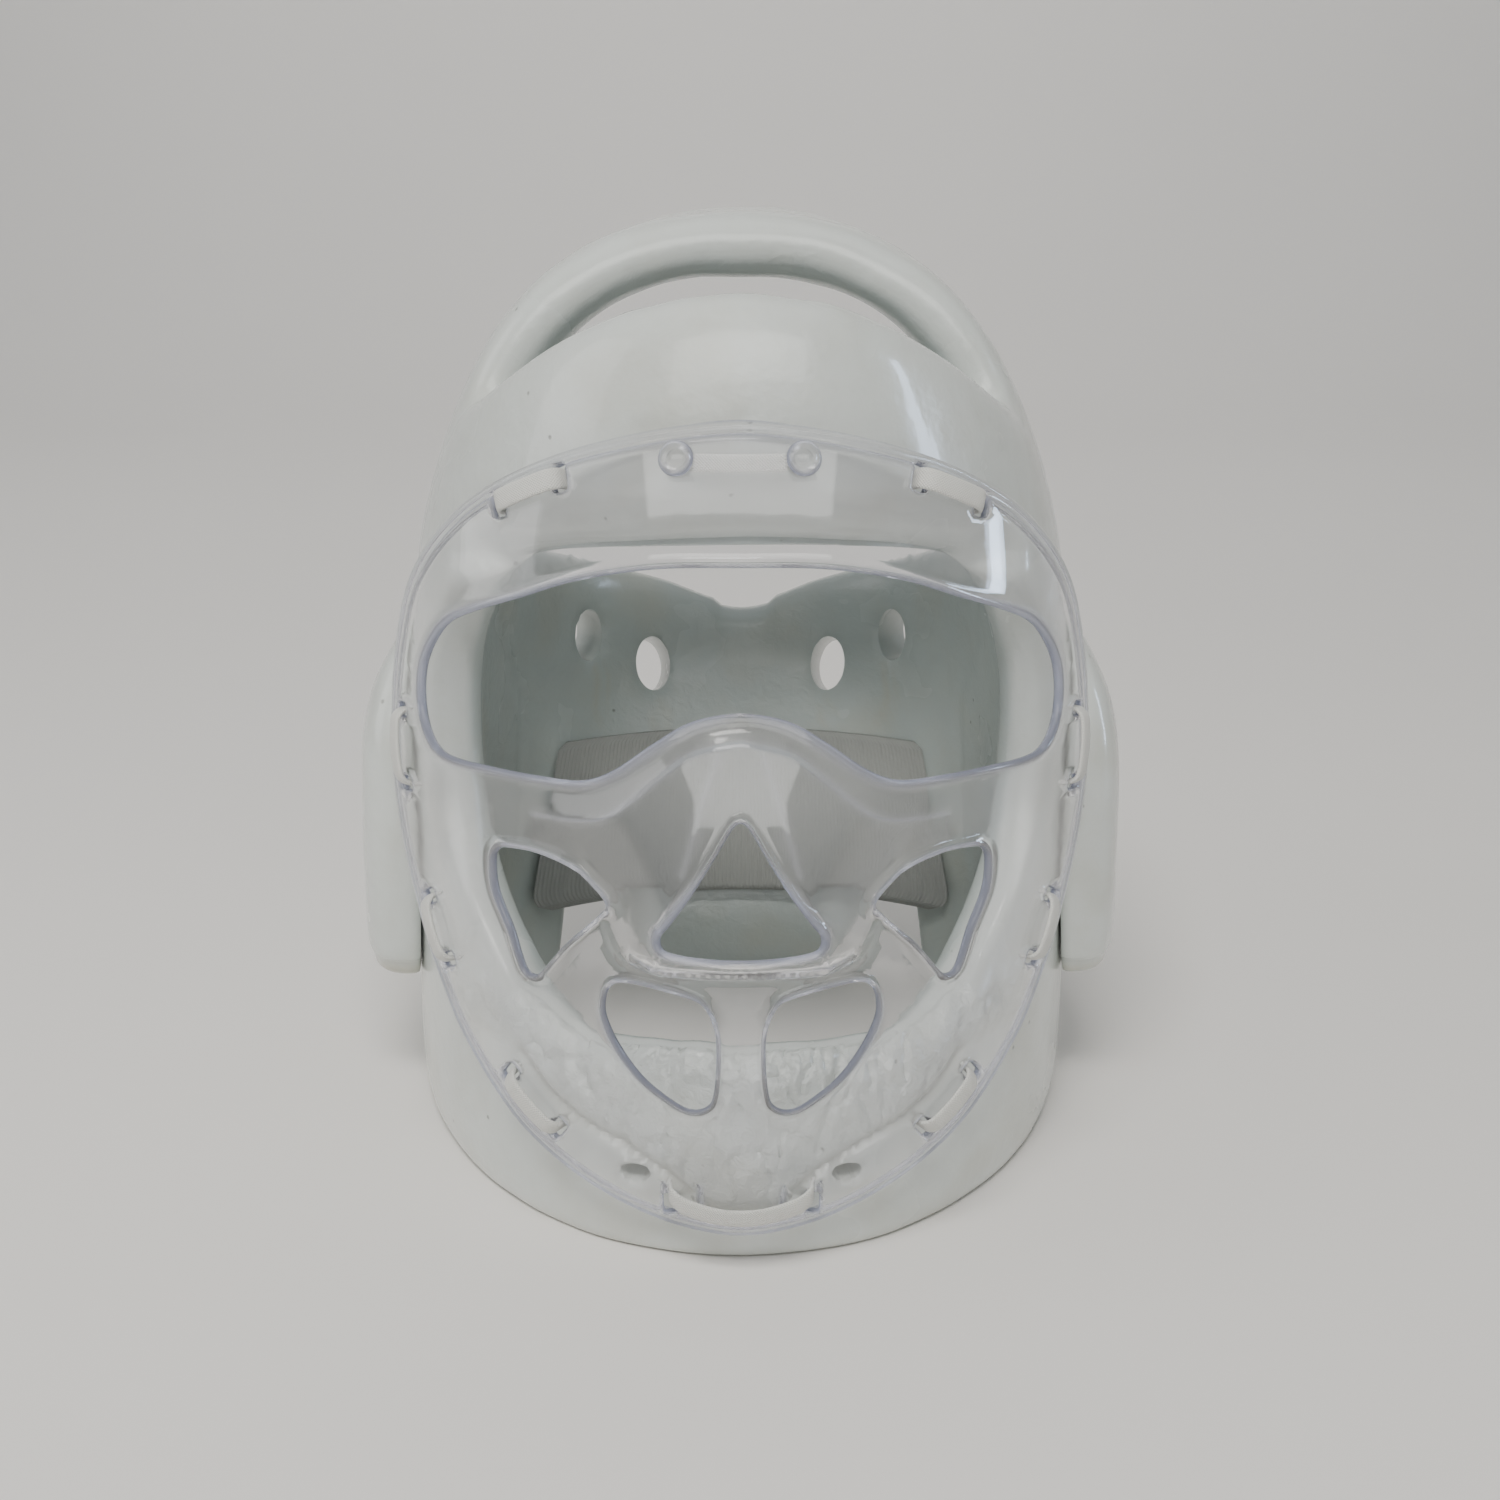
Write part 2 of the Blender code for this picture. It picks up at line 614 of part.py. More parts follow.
def slot_line(first, second, which):
    """The four corners of a rim slot, turned to the loop that runs through it."""
    ends = []
    for s, h in (first, second):
        ends.append(Vector((s * SHIELD_HALF_WIDTH, SHIELD_LOW + h * (SHIELD_TOP - SHIELD_LOW))))
    centre = ends[which]
    along = shield_point(*ends[1]) - shield_point(*ends[0])
    d = 0.001
    wide = (shield_point(centre.x + d, centre.y) - shield_point(centre.x - d, centre.y)) / (2 * d)
    tall = (shield_point(centre.x, centre.y + d) - shield_point(centre.x, centre.y - d)) / (2 * d)
    out = wide.cross(tall).normalized()
    along.normalize()
    across = out.cross(along).normalized()
    corners = []
    for a, b in ((-1, -1), (1, -1), (1, 1), (-1, 1)):
        move = along * (a * SLOT_SHORT / 2) + across * (b * SLOT_LONG / 2)
        dx = move.x
        dz = move.z
        corners.append((centre.x + dx, centre.y + dz))
    return corners


def all_slots():
    """Every rim slot and pin hole of the shield in its front view."""
    slots = []
    for loop in LOOPS:
        for which in (0, 1):
            corners = slot_line(loop["first"], loop["second"], which)
            slots.append(corners)
            slots.append([(-x, z) for x, z in reversed(corners)])
    chin = (CHIN_LOOP_SIDE, CHIN_LOOP_HEIGHT)
    corners = slot_line(chin, (-chin[0], chin[1]), 0)
    slots.append(corners)
    slots.append([(-x, z) for x, z in reversed(corners)])
    tall = SHIELD_TOP - SHIELD_LOW
    for side in (1.0, -1.0):
        centre = (side * BUTTON_SIDE * SHIELD_HALF_WIDTH, SHIELD_LOW + BUTTON_HEIGHT * tall)
        slots.append([(centre[0] + (PIN_RADIUS + 2 * CLEARANCE) * math.cos(math.pi * k / 4),
                       centre[1] + (PIN_RADIUS + 2 * CLEARANCE) * math.sin(math.pi * k / 4)) for k in range(8)])
    return slots


def inside(point, line):
    """Whether a front-view point lies inside a closed line."""
    x, z = point
    answer = False
    for (x0, z0), (x1, z1) in zip(line, line[1:] + line[:1]):
        if (z0 > z) != (z1 > z) and x < x0 + (z - z0) * (x1 - x0) / (z1 - z0):
            answer = not answer
    return answer


def distance(point, line):
    """Distance from a front-view point to a closed line."""
    best = 1.0
    p = Vector(point)
    for a, b in zip(line, line[1:] + line[:1]):
        a = Vector(a)
        way = Vector(b) - a
        share = max(0.0, min(1.0, (p - a).dot(way) / max(way.length_squared, 1e-12)))
        best = min(best, (a + way * share - p).length)
    return best


def inset_line(line, amount):
    """A closed line moved towards its inside."""
    out = []
    count = len(line)
    for i in range(count):
        a, b = Vector(line[i - 1]), Vector(line[(i + 1) % count])
        way = (b - a).normalized()
        side = Vector((-way.y, way.x))
        here = Vector(line[i])
        trial = here + side * amount
        if not inside(tuple(trial), line):
            trial = here - side * amount
        out.append(tuple(trial))
    return out


def build_shield(collection):
    """The clear shield: its front view with all openings, triangulated, then given its depth and wall."""
    rim = front_line(RIM_OUTLINE, True, step=RIM_FACET)
    holes = [front_line(EYE_OUTLINE, True, step=EYE_FACET), front_line(NOSE_VENT, True, step=NOSE_FACET)]
    for vent in (CHEEK_VENT, MOUTH_VENT):
        line = front_line(vent, False, step=VENT_FACET)
        holes.append(line)
        holes.append([(-x, z) for x, z in reversed(line)])
    holes += all_slots()
    rings = [inset_line(rim, FLANGE), inset_line(rim, FLANGE + FLANGE_RING)]
    points, edges = [], []
    for line in [rim] + holes:
        start = len(points)
        points += line
        edges += [(start + i, start + (i + 1) % len(line)) for i in range(len(line))]
    for ring in rings:
        points += [p for p in ring if not any(inside(p, h) for h in holes)
                   and min(distance(p, h) for h in holes) > FLANGE_RING / 2]
    columns = int(SHIELD_HALF_WIDTH / SHIELD_MESH)
    rows = int((SHIELD_TOP - SHIELD_LOW) / SHIELD_MESH)
    for r in range(rows + 1):
        z = mix(SHIELD_LOW, SHIELD_TOP, (r + 0.5) / rows)
        for c in range(-columns, columns + 1):
            x = (c + 0.5 * (r % 2)) * SHIELD_MESH
            if not inside((x, z), rim) or distance((x, z), rim) < FLANGE + FLANGE_RING + SHIELD_MESH * 0.45:
                continue
            if any(inside((x, z), h) for h in holes) or min(distance((x, z), h) for h in holes) < SHIELD_MESH * 0.42:
                continue
            points.append((x, z))
    verts, _, faces, _, _, _ = delaunay_2d_cdt([Vector(p) for p in points], edges, [], 0, 1e-6)
    keep = []
    for face in faces:
        centre = sum((verts[i] for i in face), Vector((0.0, 0.0))) / 3
        if inside(tuple(centre), rim) and not any(inside(tuple(centre), h) for h in holes):
            keep.append(tuple(face))
    bm = bmesh.new()
    used = sorted({i for face in keep for i in face})
    front, back = {}, {}
    for i in used:
        x, z = verts[i]
        edge = distance((x, z), rim)
        step = -FLANGE_STEP * (1.0 - smooth((edge - FLANGE * 0.8) / FLANGE_BEND))
        front[i] = bm.verts.new(shield_point(x, z, step + SHIELD_WALL / 2))
        back[i] = bm.verts.new(shield_point(x, z, step - SHIELD_WALL / 2))
    open_edges = {}
    for a, b, c in keep:
        bm.faces.new((front[a], front[b], front[c]))
        bm.faces.new((back[c], back[b], back[a]))
        for p, q in ((a, b), (b, c), (c, a)):
            if (q, p) in open_edges:
                del open_edges[(q, p)]
            else:
                open_edges[(p, q)] = True
    for p, q in open_edges:
        bm.faces.new((front[q], front[p], back[p], back[q]))
    return new_object("face_shield", bm, collection)


# Loops, buttons and the nape panel


def ribbon(name, path, width_way, width, thick, collection):
    """A flat tape swept along a path, with its width kept in the given direction."""
    bm = bmesh.new()
    rings = []
    for i, here in enumerate(path):
        before = path[max(i - 1, 0)]
        after = path[min(i + 1, len(path) - 1)]
        way_in = (here - before).normalized() if i else (after - here).normalized()
        way_out = (after - here).normalized() if i < len(path) - 1 else way_in
        along = (way_in + way_out).normalized()
        stretch = 1.0 / max(along.dot(way_out), 0.6)
        across = (width_way - along * width_way.dot(along)).normalized()
        up = along.cross(across).normalized()
        rings.append([bm.verts.new(here + across * (a * width / 2) + up * (b * thick / 2 * stretch))
                      for a, b in ((-1, -1), (1, -1), (1, 1), (-1, 1))])
    grid_faces(bm, rings, wrap=True)
    bm.faces.new(rings[0])
    bm.faces.new(rings[-1])
    return new_object(name, bm, collection)


def loop_path(first, second, side):
    """Path of a loop: behind the shield, out of one slot, over the front and back in at the other."""
    tall = SHIELD_TOP - SHIELD_LOW
    a = Vector((first[0] * SHIELD_HALF_WIDTH * side, SHIELD_LOW + first[1] * tall))
    b = Vector((second[0] * SHIELD_HALF_WIDTH * side, SHIELD_LOW + second[1] * tall))
    proud = SHIELD_WALL / 2 + TAPE_THICK / 2 + CLEARANCE
    path = []
    for place in LOOP_PATH:
        spot = a.lerp(b, place["along"])
        path.append(shield_point(spot.x, spot.y, proud * place["off"]))
    here = a.lerp(b, 0.5)
    out = shield_point(here.x, here.y, 0.001) - shield_point(here.x, here.y)
    along = shield_point(*b) - shield_point(*a)
    return path, out.cross(along).normalized()


def build_loops(collection):
    for loop in LOOPS:
        for side, label in ((1.0, "right"), (-1.0, "left")):
            path, across = loop_path(loop["first"], loop["second"], side)
            ribbon(f"{loop['name']}_{label}", path, across, TAPE, TAPE_THICK, collection)
    path, across = loop_path((CHIN_LOOP_SIDE, CHIN_LOOP_HEIGHT), (-CHIN_LOOP_SIDE, CHIN_LOOP_HEIGHT), 1.0)
    ribbon("elastic_chin", path, across, TAPE, TAPE_THICK, collection)
    behind = -(SHIELD_WALL / 2 + TAPE_THICK / 2 + CLEARANCE) - 0.0009
    z = SHIELD_LOW + BUTTON_HEIGHT * (SHIELD_TOP - SHIELD_LOW)
    reach = BUTTON_SIDE * SHIELD_HALF_WIDTH - PIN_RADIUS - 2 * CLEARANCE
    path = [shield_point(reach * k / 3, z, behind) for k in range(-3, 4)]
    ribbon("elastic_top", path, Vector((0, 0, 1)), TAPE * 0.8, TAPE_THICK, collection)


def build_buttons(collection):
    """Round fixings at the top of the shield: a domed head on a pin, turned about the shield's normal."""
    wall = SHIELD_WALL / 2
    seat = wall + CLEARANCE
    profile = [(0.0, seat + BUTTON_DOME)]
    profile += [(point["radius"], seat + BUTTON_DOME * point["rise"]) for point in BUTTON_HEAD]
    profile += [(PIN_RADIUS / BUTTON_RADIUS, seat), (PIN_RADIUS / BUTTON_RADIUS, -wall * 0.9), (0.0, -wall * 0.9)]
    for side, label in ((1.0, "right"), (-1.0, "left")):
        x = side * BUTTON_SIDE * SHIELD_HALF_WIDTH
        z = SHIELD_LOW + BUTTON_HEIGHT * (SHIELD_TOP - SHIELD_LOW)
        base = shield_point(x, z)
        out = (shield_point(x, z, 0.001) - base).normalized()
        across = out.cross(Vector((0, 0, 1))).normalized()
        up = across.cross(out)
        bm = bmesh.new()
        rings = []
        for radius, height in profile[1:-1]:
            rings.append([bm.verts.new(base + out * height + (across * math.cos(math.pi * k / 8)
                                                              + up * math.sin(math.pi * k / 8)) * radius * BUTTON_RADIUS)
                          for k in range(16)])
        grid_faces(bm, rings, wrap=True)
        for ring, (_, height) in ((rings[0], profile[0]), (rings[-1], profile[-1])):
            tip = bm.verts.new(base + out * height)
            for k in range(16):
                bm.faces.new((ring[k], ring[(k + 1) % 16], tip))
        new_object(f"button_{label}", bm, collection)


def build_strap(collection, surface):
    """The ribbed elastic panel: a gently curved sheet laid just inside the nape, wider at its lower edge."""
    across, up = 16, 7
    bm = bmesh.new()
    layers = {0: [], 1: []}
    lines = []
    for r in range(up + 1):
        share = r / up
        z = mix(STRAP_LOW, STRAP_TOP, share)
        half = mix(STRAP_LOW_HALF, STRAP_TOP_HALF, share)
        corner, near = (0.007, z - STRAP_LOW) if share < 0.5 else (0.002, STRAP_TOP - z)
        if near < corner:
            half -= corner - math.sqrt(corner ** 2 - (corner - near) ** 2)
        line = []
        for c in range(across + 1):
            x = mix(-half, half, c / across)
            hit = surface.ray_cast(Vector((x, 0.0, z)), Vector((0, 1, 0)))[0]
            line.append((x, hit.y if hit else None, z))
        known = [p[1] for p in line if p[1] is not None]
        line = [(x, y if y is not None else max(known), z) for x, y, z in line]
        lines.append(line)
    for line in lines:
        near = STRAP_LOW_HALF * 0.435
        middle = min(y for x, y, z in line if abs(x) < near)
        fit = min((middle - y) / (x / STRAP_LOW_HALF) ** 2 for x, y, z in line if abs(x) > near)
        bend = max((middle - y) / (x / STRAP_LOW_HALF) ** 2 for x, y, z in line if abs(x) > near)
        for layer, gap in ((0, CLEARANCE * 2), (1, CLEARANCE * 2 + STRAP_THICK)):
            layers[layer].append([bm.verts.new((x, middle - gap - max(bend, fit, 0.0) * (x / STRAP_LOW_HALF) ** 2, z))
                                  for x, y, z in line])
    for layer in (0, 1):
        grid_faces(bm, layers[layer])
    for low, high in ((layers[0][0], layers[1][0]), (layers[0][-1], layers[1][-1])):
        grid_faces(bm, [low, high])
    for side in (0, -1):
        grid_faces(bm, [[row[side] for row in layers[0]], [row[side] for row in layers[1]]])
    return new_object("nape_strap", bm, collection)


# Materials and scene


def material(name, color, roughness, metallic=0.0, transmission=0.0, ior=1.5):
    mat = bpy.data.materials.new(name)
    mat.use_nodes = True
    shader = mat.node_tree.nodes["Principled BSDF"]
    shader.inputs["Base Color"].default_value = (*color, 1.0)
    shader.inputs["Roughness"].default_value = roughness
    shader.inputs["Metallic"].default_value = metallic
    shader.inputs["Transmission Weight"].default_value = transmission
    shader.inputs["IOR"].default_value = ior
    return mat


def main():
    for obj in list(bpy.data.objects):
        bpy.data.objects.remove(obj)
    guard = bpy.data.collections.new("karate_head_guard")
    work = bpy.data.collections.new("cutters")
    bpy.context.scene.collection.children.link(guard)
    bpy.context.scene.collection.children.link(work)
    shell = build_shell(guard, work)
    bm = bmesh.new()
    bm.from_mesh(shell.data)
    surface = BVHTree.FromBMesh(bm)
    bm.free()
    cut_vents(shell, work)
    build_ear_pads(guard, surface)
    build_shield(guard)
    build_loops(guard)
    build_buttons(guard)
    build_strap(guard, surface)
    looks = {
        "foam_shell": ("dipped foam", (0.80, 0.82, 0.80), 0.28, 0.0, 0.0, 1.5),
        "ear_pad": ("dipped ear foam", (0.80, 0.82, 0.80), 0.30, 0.0, 0.0, 1.5),
        "face_shield": ("clear polycarbonate", (0.93, 0.94, 0.96), 0.05, 0.0, 1.0, 1.58),
        "button": ("clear fixing", (0.90, 0.91, 0.94), 0.08, 0.0, 1.0, 1.58),
        "elastic": ("white elastic", (0.78, 0.78, 0.75), 0.75, 0.0, 0.0, 1.5),
        "nape_strap": ("ribbed grey elastic", (0.55, 0.55, 0.53), 0.85, 0.0, 0.0, 1.5),
    }
    for obj in guard.objects:
        for start, look in looks.items():
            if obj.name.startswith(start):
                obj.data.materials.append(material(f"{look[0]} {obj.name}", *look[1:]))
    for obj in list(guard.objects) + list(work.objects):
        for vertex in obj.data.vertices:
            vertex.co.y += CENTRE_SHIFT


main()
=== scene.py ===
"""Karate head guard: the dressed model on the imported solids.

A dipped-foam guard with two ear cups, a clear moulded shield on the front, the white elastics that tie it on
and a broad ribbed elastic inside the nape, on a pale studio floor. Metres, +Z up, the face towards -Y.
"""

import math

import bmesh
import bpy
import numpy as np
from mathutils import Matrix, Vector, kdtree, noise
from mathutils.bvhtree import BVHTree
from mathutils.geometry import delaunay_2d_cdt


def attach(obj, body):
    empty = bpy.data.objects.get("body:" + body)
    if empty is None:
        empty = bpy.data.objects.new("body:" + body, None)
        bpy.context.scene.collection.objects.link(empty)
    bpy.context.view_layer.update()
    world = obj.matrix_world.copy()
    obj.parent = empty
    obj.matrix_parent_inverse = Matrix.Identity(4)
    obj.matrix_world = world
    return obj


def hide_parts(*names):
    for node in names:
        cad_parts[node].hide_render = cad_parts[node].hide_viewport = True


bl_info = {
    "name": "Karate head guard",
    "version": (1, 0, 0),
    "blender": (4, 5, 0),
    "location": "3D View > Sidebar > Head guard",
    "description": "Models a dipped-foam head guard with a clear shield, its elastics and a studio stage",
    "category": "Add Mesh",
}

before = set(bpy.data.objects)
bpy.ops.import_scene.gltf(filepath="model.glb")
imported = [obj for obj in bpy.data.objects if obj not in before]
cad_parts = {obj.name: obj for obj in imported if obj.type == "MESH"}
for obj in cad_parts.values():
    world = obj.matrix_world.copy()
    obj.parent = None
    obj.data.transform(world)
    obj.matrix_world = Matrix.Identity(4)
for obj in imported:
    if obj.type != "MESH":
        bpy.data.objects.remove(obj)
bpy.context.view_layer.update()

# Main sizes, in metres, as in the solids
GUARD_HEIGHT = 0.252
SHELL_HALF_WIDTH = 0.0965
SHELL_FRONT = 0.112
SHELL_REAR = 0.1165
CENTRE_SHIFT = 0.01337
CLEARANCE = 0.0004

# Plan of the shell at each height: half width, front and rear depth as shares of the main sizes, and the
# squareness of the rear half of the outline (2 is an ellipse)
SHELL_PLAN = (
    {"height": 0.000, "half": 1.004, "front": 1.022, "rear": 0.560, "square": 2.3},
    {"height": 0.071, "half": 1.008, "front": 1.012, "rear": 0.595, "square": 2.3},
    {"height": 0.159, "half": 1.000, "front": 0.990, "rear": 0.680, "square": 2.4},
    {"height": 0.238, "half": 0.995, "front": 0.969, "rear": 0.795, "square": 2.4},
    {"height": 0.317, "half": 0.990, "front": 0.955, "rear": 0.895, "square": 2.5},
    {"height": 0.397, "half": 0.984, "front": 0.951, "rear": 0.966, "square": 2.5},
    {"height": 0.476, "half": 0.974, "front": 0.951, "rear": 1.000, "square": 2.4},
    {"height": 0.595, "half": 0.953, "front": 0.946, "rear": 0.975, "square": 2.2},
    {"height": 0.706, "half": 0.895, "front": 0.933, "rear": 0.860, "square": 2.0},
    {"height": 0.794, "half": 0.798, "front": 0.906, "rear": 0.755, "square": 2.0},
    {"height": 0.873, "half": 0.746, "front": 0.875, "rear": 0.640, "square": 2.0},
    {"height": 0.944, "half": 0.684, "front": 0.839, "rear": 0.560, "square": 2.0},
)

# Rows of the guard's cage: height as a share of the guard height at the front, the face edge, the hoop's two
# corners, the rear quarter, the nape's shoulder and the rear middle. A row without a value doesn't reach
# that place, or runs straight through it.
ROWS = (
    {"front": -0.022, "edge": -0.022, "hoop_front": -0.022,
     "hoop_rear": -0.022, "quarter": -0.022, "nape": None, "rear": -0.022},
    {"front": 0.095, "edge": 0.095, "hoop_front": 0.100,
     "hoop_rear": 0.104, "quarter": 0.106, "nape": None, "rear": 0.106},
    {"front": 0.226, "edge": 0.218, "hoop_front": 0.212,
     "hoop_rear": 0.214, "quarter": 0.216, "nape": None, "rear": 0.214},
    {"front": None, "edge": 0.318, "hoop_front": 0.325,
     "hoop_rear": 0.325, "quarter": 0.312, "nape": None, "rear": 0.302},
    {"front": None, "edge": 0.445, "hoop_front": 0.452,
     "hoop_rear": 0.468, "quarter": 0.420, "nape": None, "rear": 0.384},
    {"front": None, "edge": 0.572, "hoop_front": 0.580,
     "hoop_rear": 0.628, "quarter": 0.545, "nape": 0.508, "rear": 0.435},
    {"front": 0.712, "edge": 0.670, "hoop_front": 0.676,
     "hoop_rear": 0.690, "quarter": None, "nape": None, "rear": None},
    {"front": 0.829, "edge": 0.783, "hoop_front": 0.738,
     "hoop_rear": 0.740, "quarter": None, "nape": None, "rear": None},
    {"front": 0.946, "edge": 0.893, "hoop_front": 0.804,
     "hoop_rear": 0.796, "quarter": None, "nape": None, "rear": None},
)

# Columns of the cage: plan angle in degrees from the front at each row
FACE_EDGE = (28.0, 28.5, 30.0, 52.0, 60.0, 62.0, 49.0, 43.0, 41.0)
HOOP_FRONT = (72.0, 73.0, 75.0, 79.0, 84.0, 84.0, 76.0, 72.0, 70.0)
HOOP_REAR = (106.0, 106.0, 106.0, 107.0, 107.0, 107.0, 106.0, 105.0, 105.0)
SLOT_EDGE = (137.0, 141.0, 144.0, 144.0, 144.0, 144.0, 144.0, 144.0, 144.0)
FRONT_SHARES = (0.0, 0.36, 0.70, 1.0)
CHEEK_SHARES = (0.34, 0.68)
HOOP_SHARES = (0.0, 0.33, 0.66, 1.0)
FLANK_SHARES = (0.34, 0.67, 1.0)
NAPE_ANGLES = (152.0, 166.0, 180.0)
CHIN_TOP_ROW = 2
BAND_ROW = 6
REAR_TOP_ROW = 5
SLOT_TOP_ROW = 2

# Arch of the crown hoop: side and height as shares of the half width and the guard height, front and rear
# edge as shares of the shell's front
HOOP_ARCH = (
    {"side": 0.610, "height": 0.862, "front": -0.285, "rear": 0.205},
    {"side": 0.455, "height": 0.926, "front": -0.272, "rear": 0.222},
    {"side": 0.234, "height": 0.962, "front": -0.262, "rear": 0.236},
    {"side": 0.000, "height": 0.971, "front": -0.258, "rear": 0.240},
)

# Vents: side and height as shares, and the size of the oval
REAR_VENTS = (
    {"side": 0.336, "height": 0.380, "width": 0.0120, "tall": 0.0185},
    {"side": 0.590, "height": 0.440, "width": 0.0115, "tall": 0.0180},
)
CHIN_VENT = {"side": 0.0245, "height": 0.0235, "width": 0.0078, "tall": 0.0050}

# Creases pressed into the foam, as lines of two measures in metres
CHIN_CREASE = ((0.0, 0.0150), (0.009, 0.0160), (0.0188, 0.0250), (0.0303, 0.0312), (0.0407, 0.0351),
               (0.0482, 0.0393), (0.0560, 0.0470))
CHIN_FOLDS = (
    {"line": ((0.0251, 0.0545), (0.0237, 0.0485), (0.0205, 0.0380), (0.0188, 0.0303)), "deep": 0.0013},
    {"line": ((-0.0411, 0.0520), (-0.0406, 0.0476), (-0.0380, 0.0440)), "deep": 0.0011},
    {"line": ((-0.0294, 0.0365), (-0.0290, 0.0286)), "deep": 0.0011},
    {"line": ((0.0020, 0.0560), (0.0000, 0.0440), (0.0030, 0.0350)), "deep": 0.0007},
)
BAND_CREASE = ((-0.0225, 0.2074), (-0.0215, 0.1964), (-0.0206, 0.1849))
FLANK_SEAM = ((0.0347, 0.1420), (0.0356, 0.1243), (0.0493, 0.1052), (0.0513, 0.0910), (0.0459, 0.0749),
              (0.0440, 0.0600))


# The skin's relief, in metres: lumps of the dip, the chin's raised pad and its wrinkles, and how deep the
# creases, seams and vent mouths are pressed
HOLLOW_MIDDLE = (0.0, 0.0, 0.10)
SKIN_LUMPS = ({"high": 0.00030, "size": 0.034, "seed": 1}, {"high": 0.00010, "size": 0.011, "seed": 2})
CHIN_BACK = 0.060
CHIN_HIGH = 0.066
CHIN_PAD = {"high": 0.0008, "fade": 0.006, "crease": 0.0016, "wide": 0.0014}
CHIN_CRUMPLE = {"deep": 0.0009, "size": 0.012, "thin": 0.09, "stretch": (1.5, 1.0, 0.75)}
CHIN_LUMPS = {"high": 0.00085, "size": 0.008, "stretch": (1.4, 1.0, 0.8)}
FOLD_WIDE = 0.0015
BAND_CREASE_DEEP = 0.00030
FLANK_SEAM_DEEP = 0.0008
REAR_SEAM_DEEP = 0.00025
VENT_MOUTH_DEEP = 0.0011

# The band's lower edge from the middle to the side, its bevel, the rear wall's upper edge, the waves of the
# chin's edge and of the hoop, and how softly the rim meets the floor
BAND_LOWER_EDGE = ((0.0, 0.1955), (0.042, 0.1915), (0.075, 0.1860))
BAND_BEVEL = {"in": 0.0090, "tall": 0.0140}
REAR_TOP = {"rise": 0.0016, "dip": 0.0012, "notch": 0.0018}
CHIN_EDGE_WAVE = 0.0013
HOOP_WAVE = 0.0006
RIM_SOFT = 0.0013

# Stains that run down from the rear vents: how long, how wide and how they wander
DRIP = {"long": 0.040, "wide": 0.0014, "second": 0.0042, "wander": 0.0015, "turns": 260.0}

# Ear cups: share of the height, half length along Y and reach outwards
EAR_BOTTOM = 0.0415
EAR_TALL = 0.1010
EAR_HALF_LENGTH = 0.0375
EAR_REACH = 0.1100
EAR_CENTRE_Y = -0.0050
EAR_SECTIONS = (
    {"height": 0.000, "length": 0.700, "reach": 0.925},
    {"height": 0.018, "length": 0.830, "reach": 0.985},
    {"height": 0.064, "length": 0.880, "reach": 0.990},
    {"height": 0.082, "length": 0.915, "reach": 1.000},
    {"height": 0.200, "length": 0.965, "reach": 0.999},
    {"height": 0.360, "length": 1.000, "reach": 0.994},
    {"height": 0.520, "length": 0.995, "reach": 0.988},
    {"height": 0.680, "length": 0.930, "reach": 0.978},
    {"height": 0.800, "length": 0.820, "reach": 0.953},
    {"height": 0.890, "length": 0.670, "reach": 0.915},
    {"height": 0.960, "length": 0.460, "reach": 0.872},
    {"height": 1.000, "length": 0.230, "reach": 0.848},
)

# Clear shield
SHIELD_HALF_WIDTH = 0.0920
SHIELD_LOW = 0.0095
SHIELD_TOP = 0.2110
SHIELD_TALL = SHIELD_TOP - SHIELD_LOW
SHIELD_FRONT = 0.1245
SHIELD_PLAN_WIDTH = 0.1035
FLANGE = 0.0034
FLANGE_STEP = 0.0016
LIP = 0.0011
BEAD_HIGH = 0.0005
LIP_HIGH = 0.0009
FIN_HIGH = 0.0007
SHIELD_MESH = 0.0021

# Rows of points in the shield's mesh: distances from the rim, the large openings, the small ones and a crease
RIM_ROWS = (0.0004, 0.0010, 0.0017, 0.0025, 0.0032, 0.0039, 0.0048, 0.0060)
HOLE_ROWS = (0.0004, 0.0009, 0.0015, 0.0023, 0.0033)
SLOT_ROWS = (0.0004, 0.0009)
CREASE_ROW = 0.0006

# Side view and plan of the shield: height, front depth and plan half width as shares of the shield's sizes
SHIELD_PROFILE = (
    {"height": 0.000, "front": 0.9415, "width": 0.990},
    {"height": 0.075, "front": 0.968, "width": 0.992},
    {"height": 0.220, "front": 0.989, "width": 0.996},
    {"height": 0.360, "front": 1.000, "width": 0.998},
    {"height": 0.500, "front": 0.990, "width": 1.000},
    {"height": 0.640, "front": 0.962, "width": 0.988},
    {"height": 0.830, "front": 0.906, "width": 0.951},
    {"height": 0.930, "front": 0.867, "width": 0.915},
    {"height": 1.000, "front": 0.8245, "width": 0.880},
)

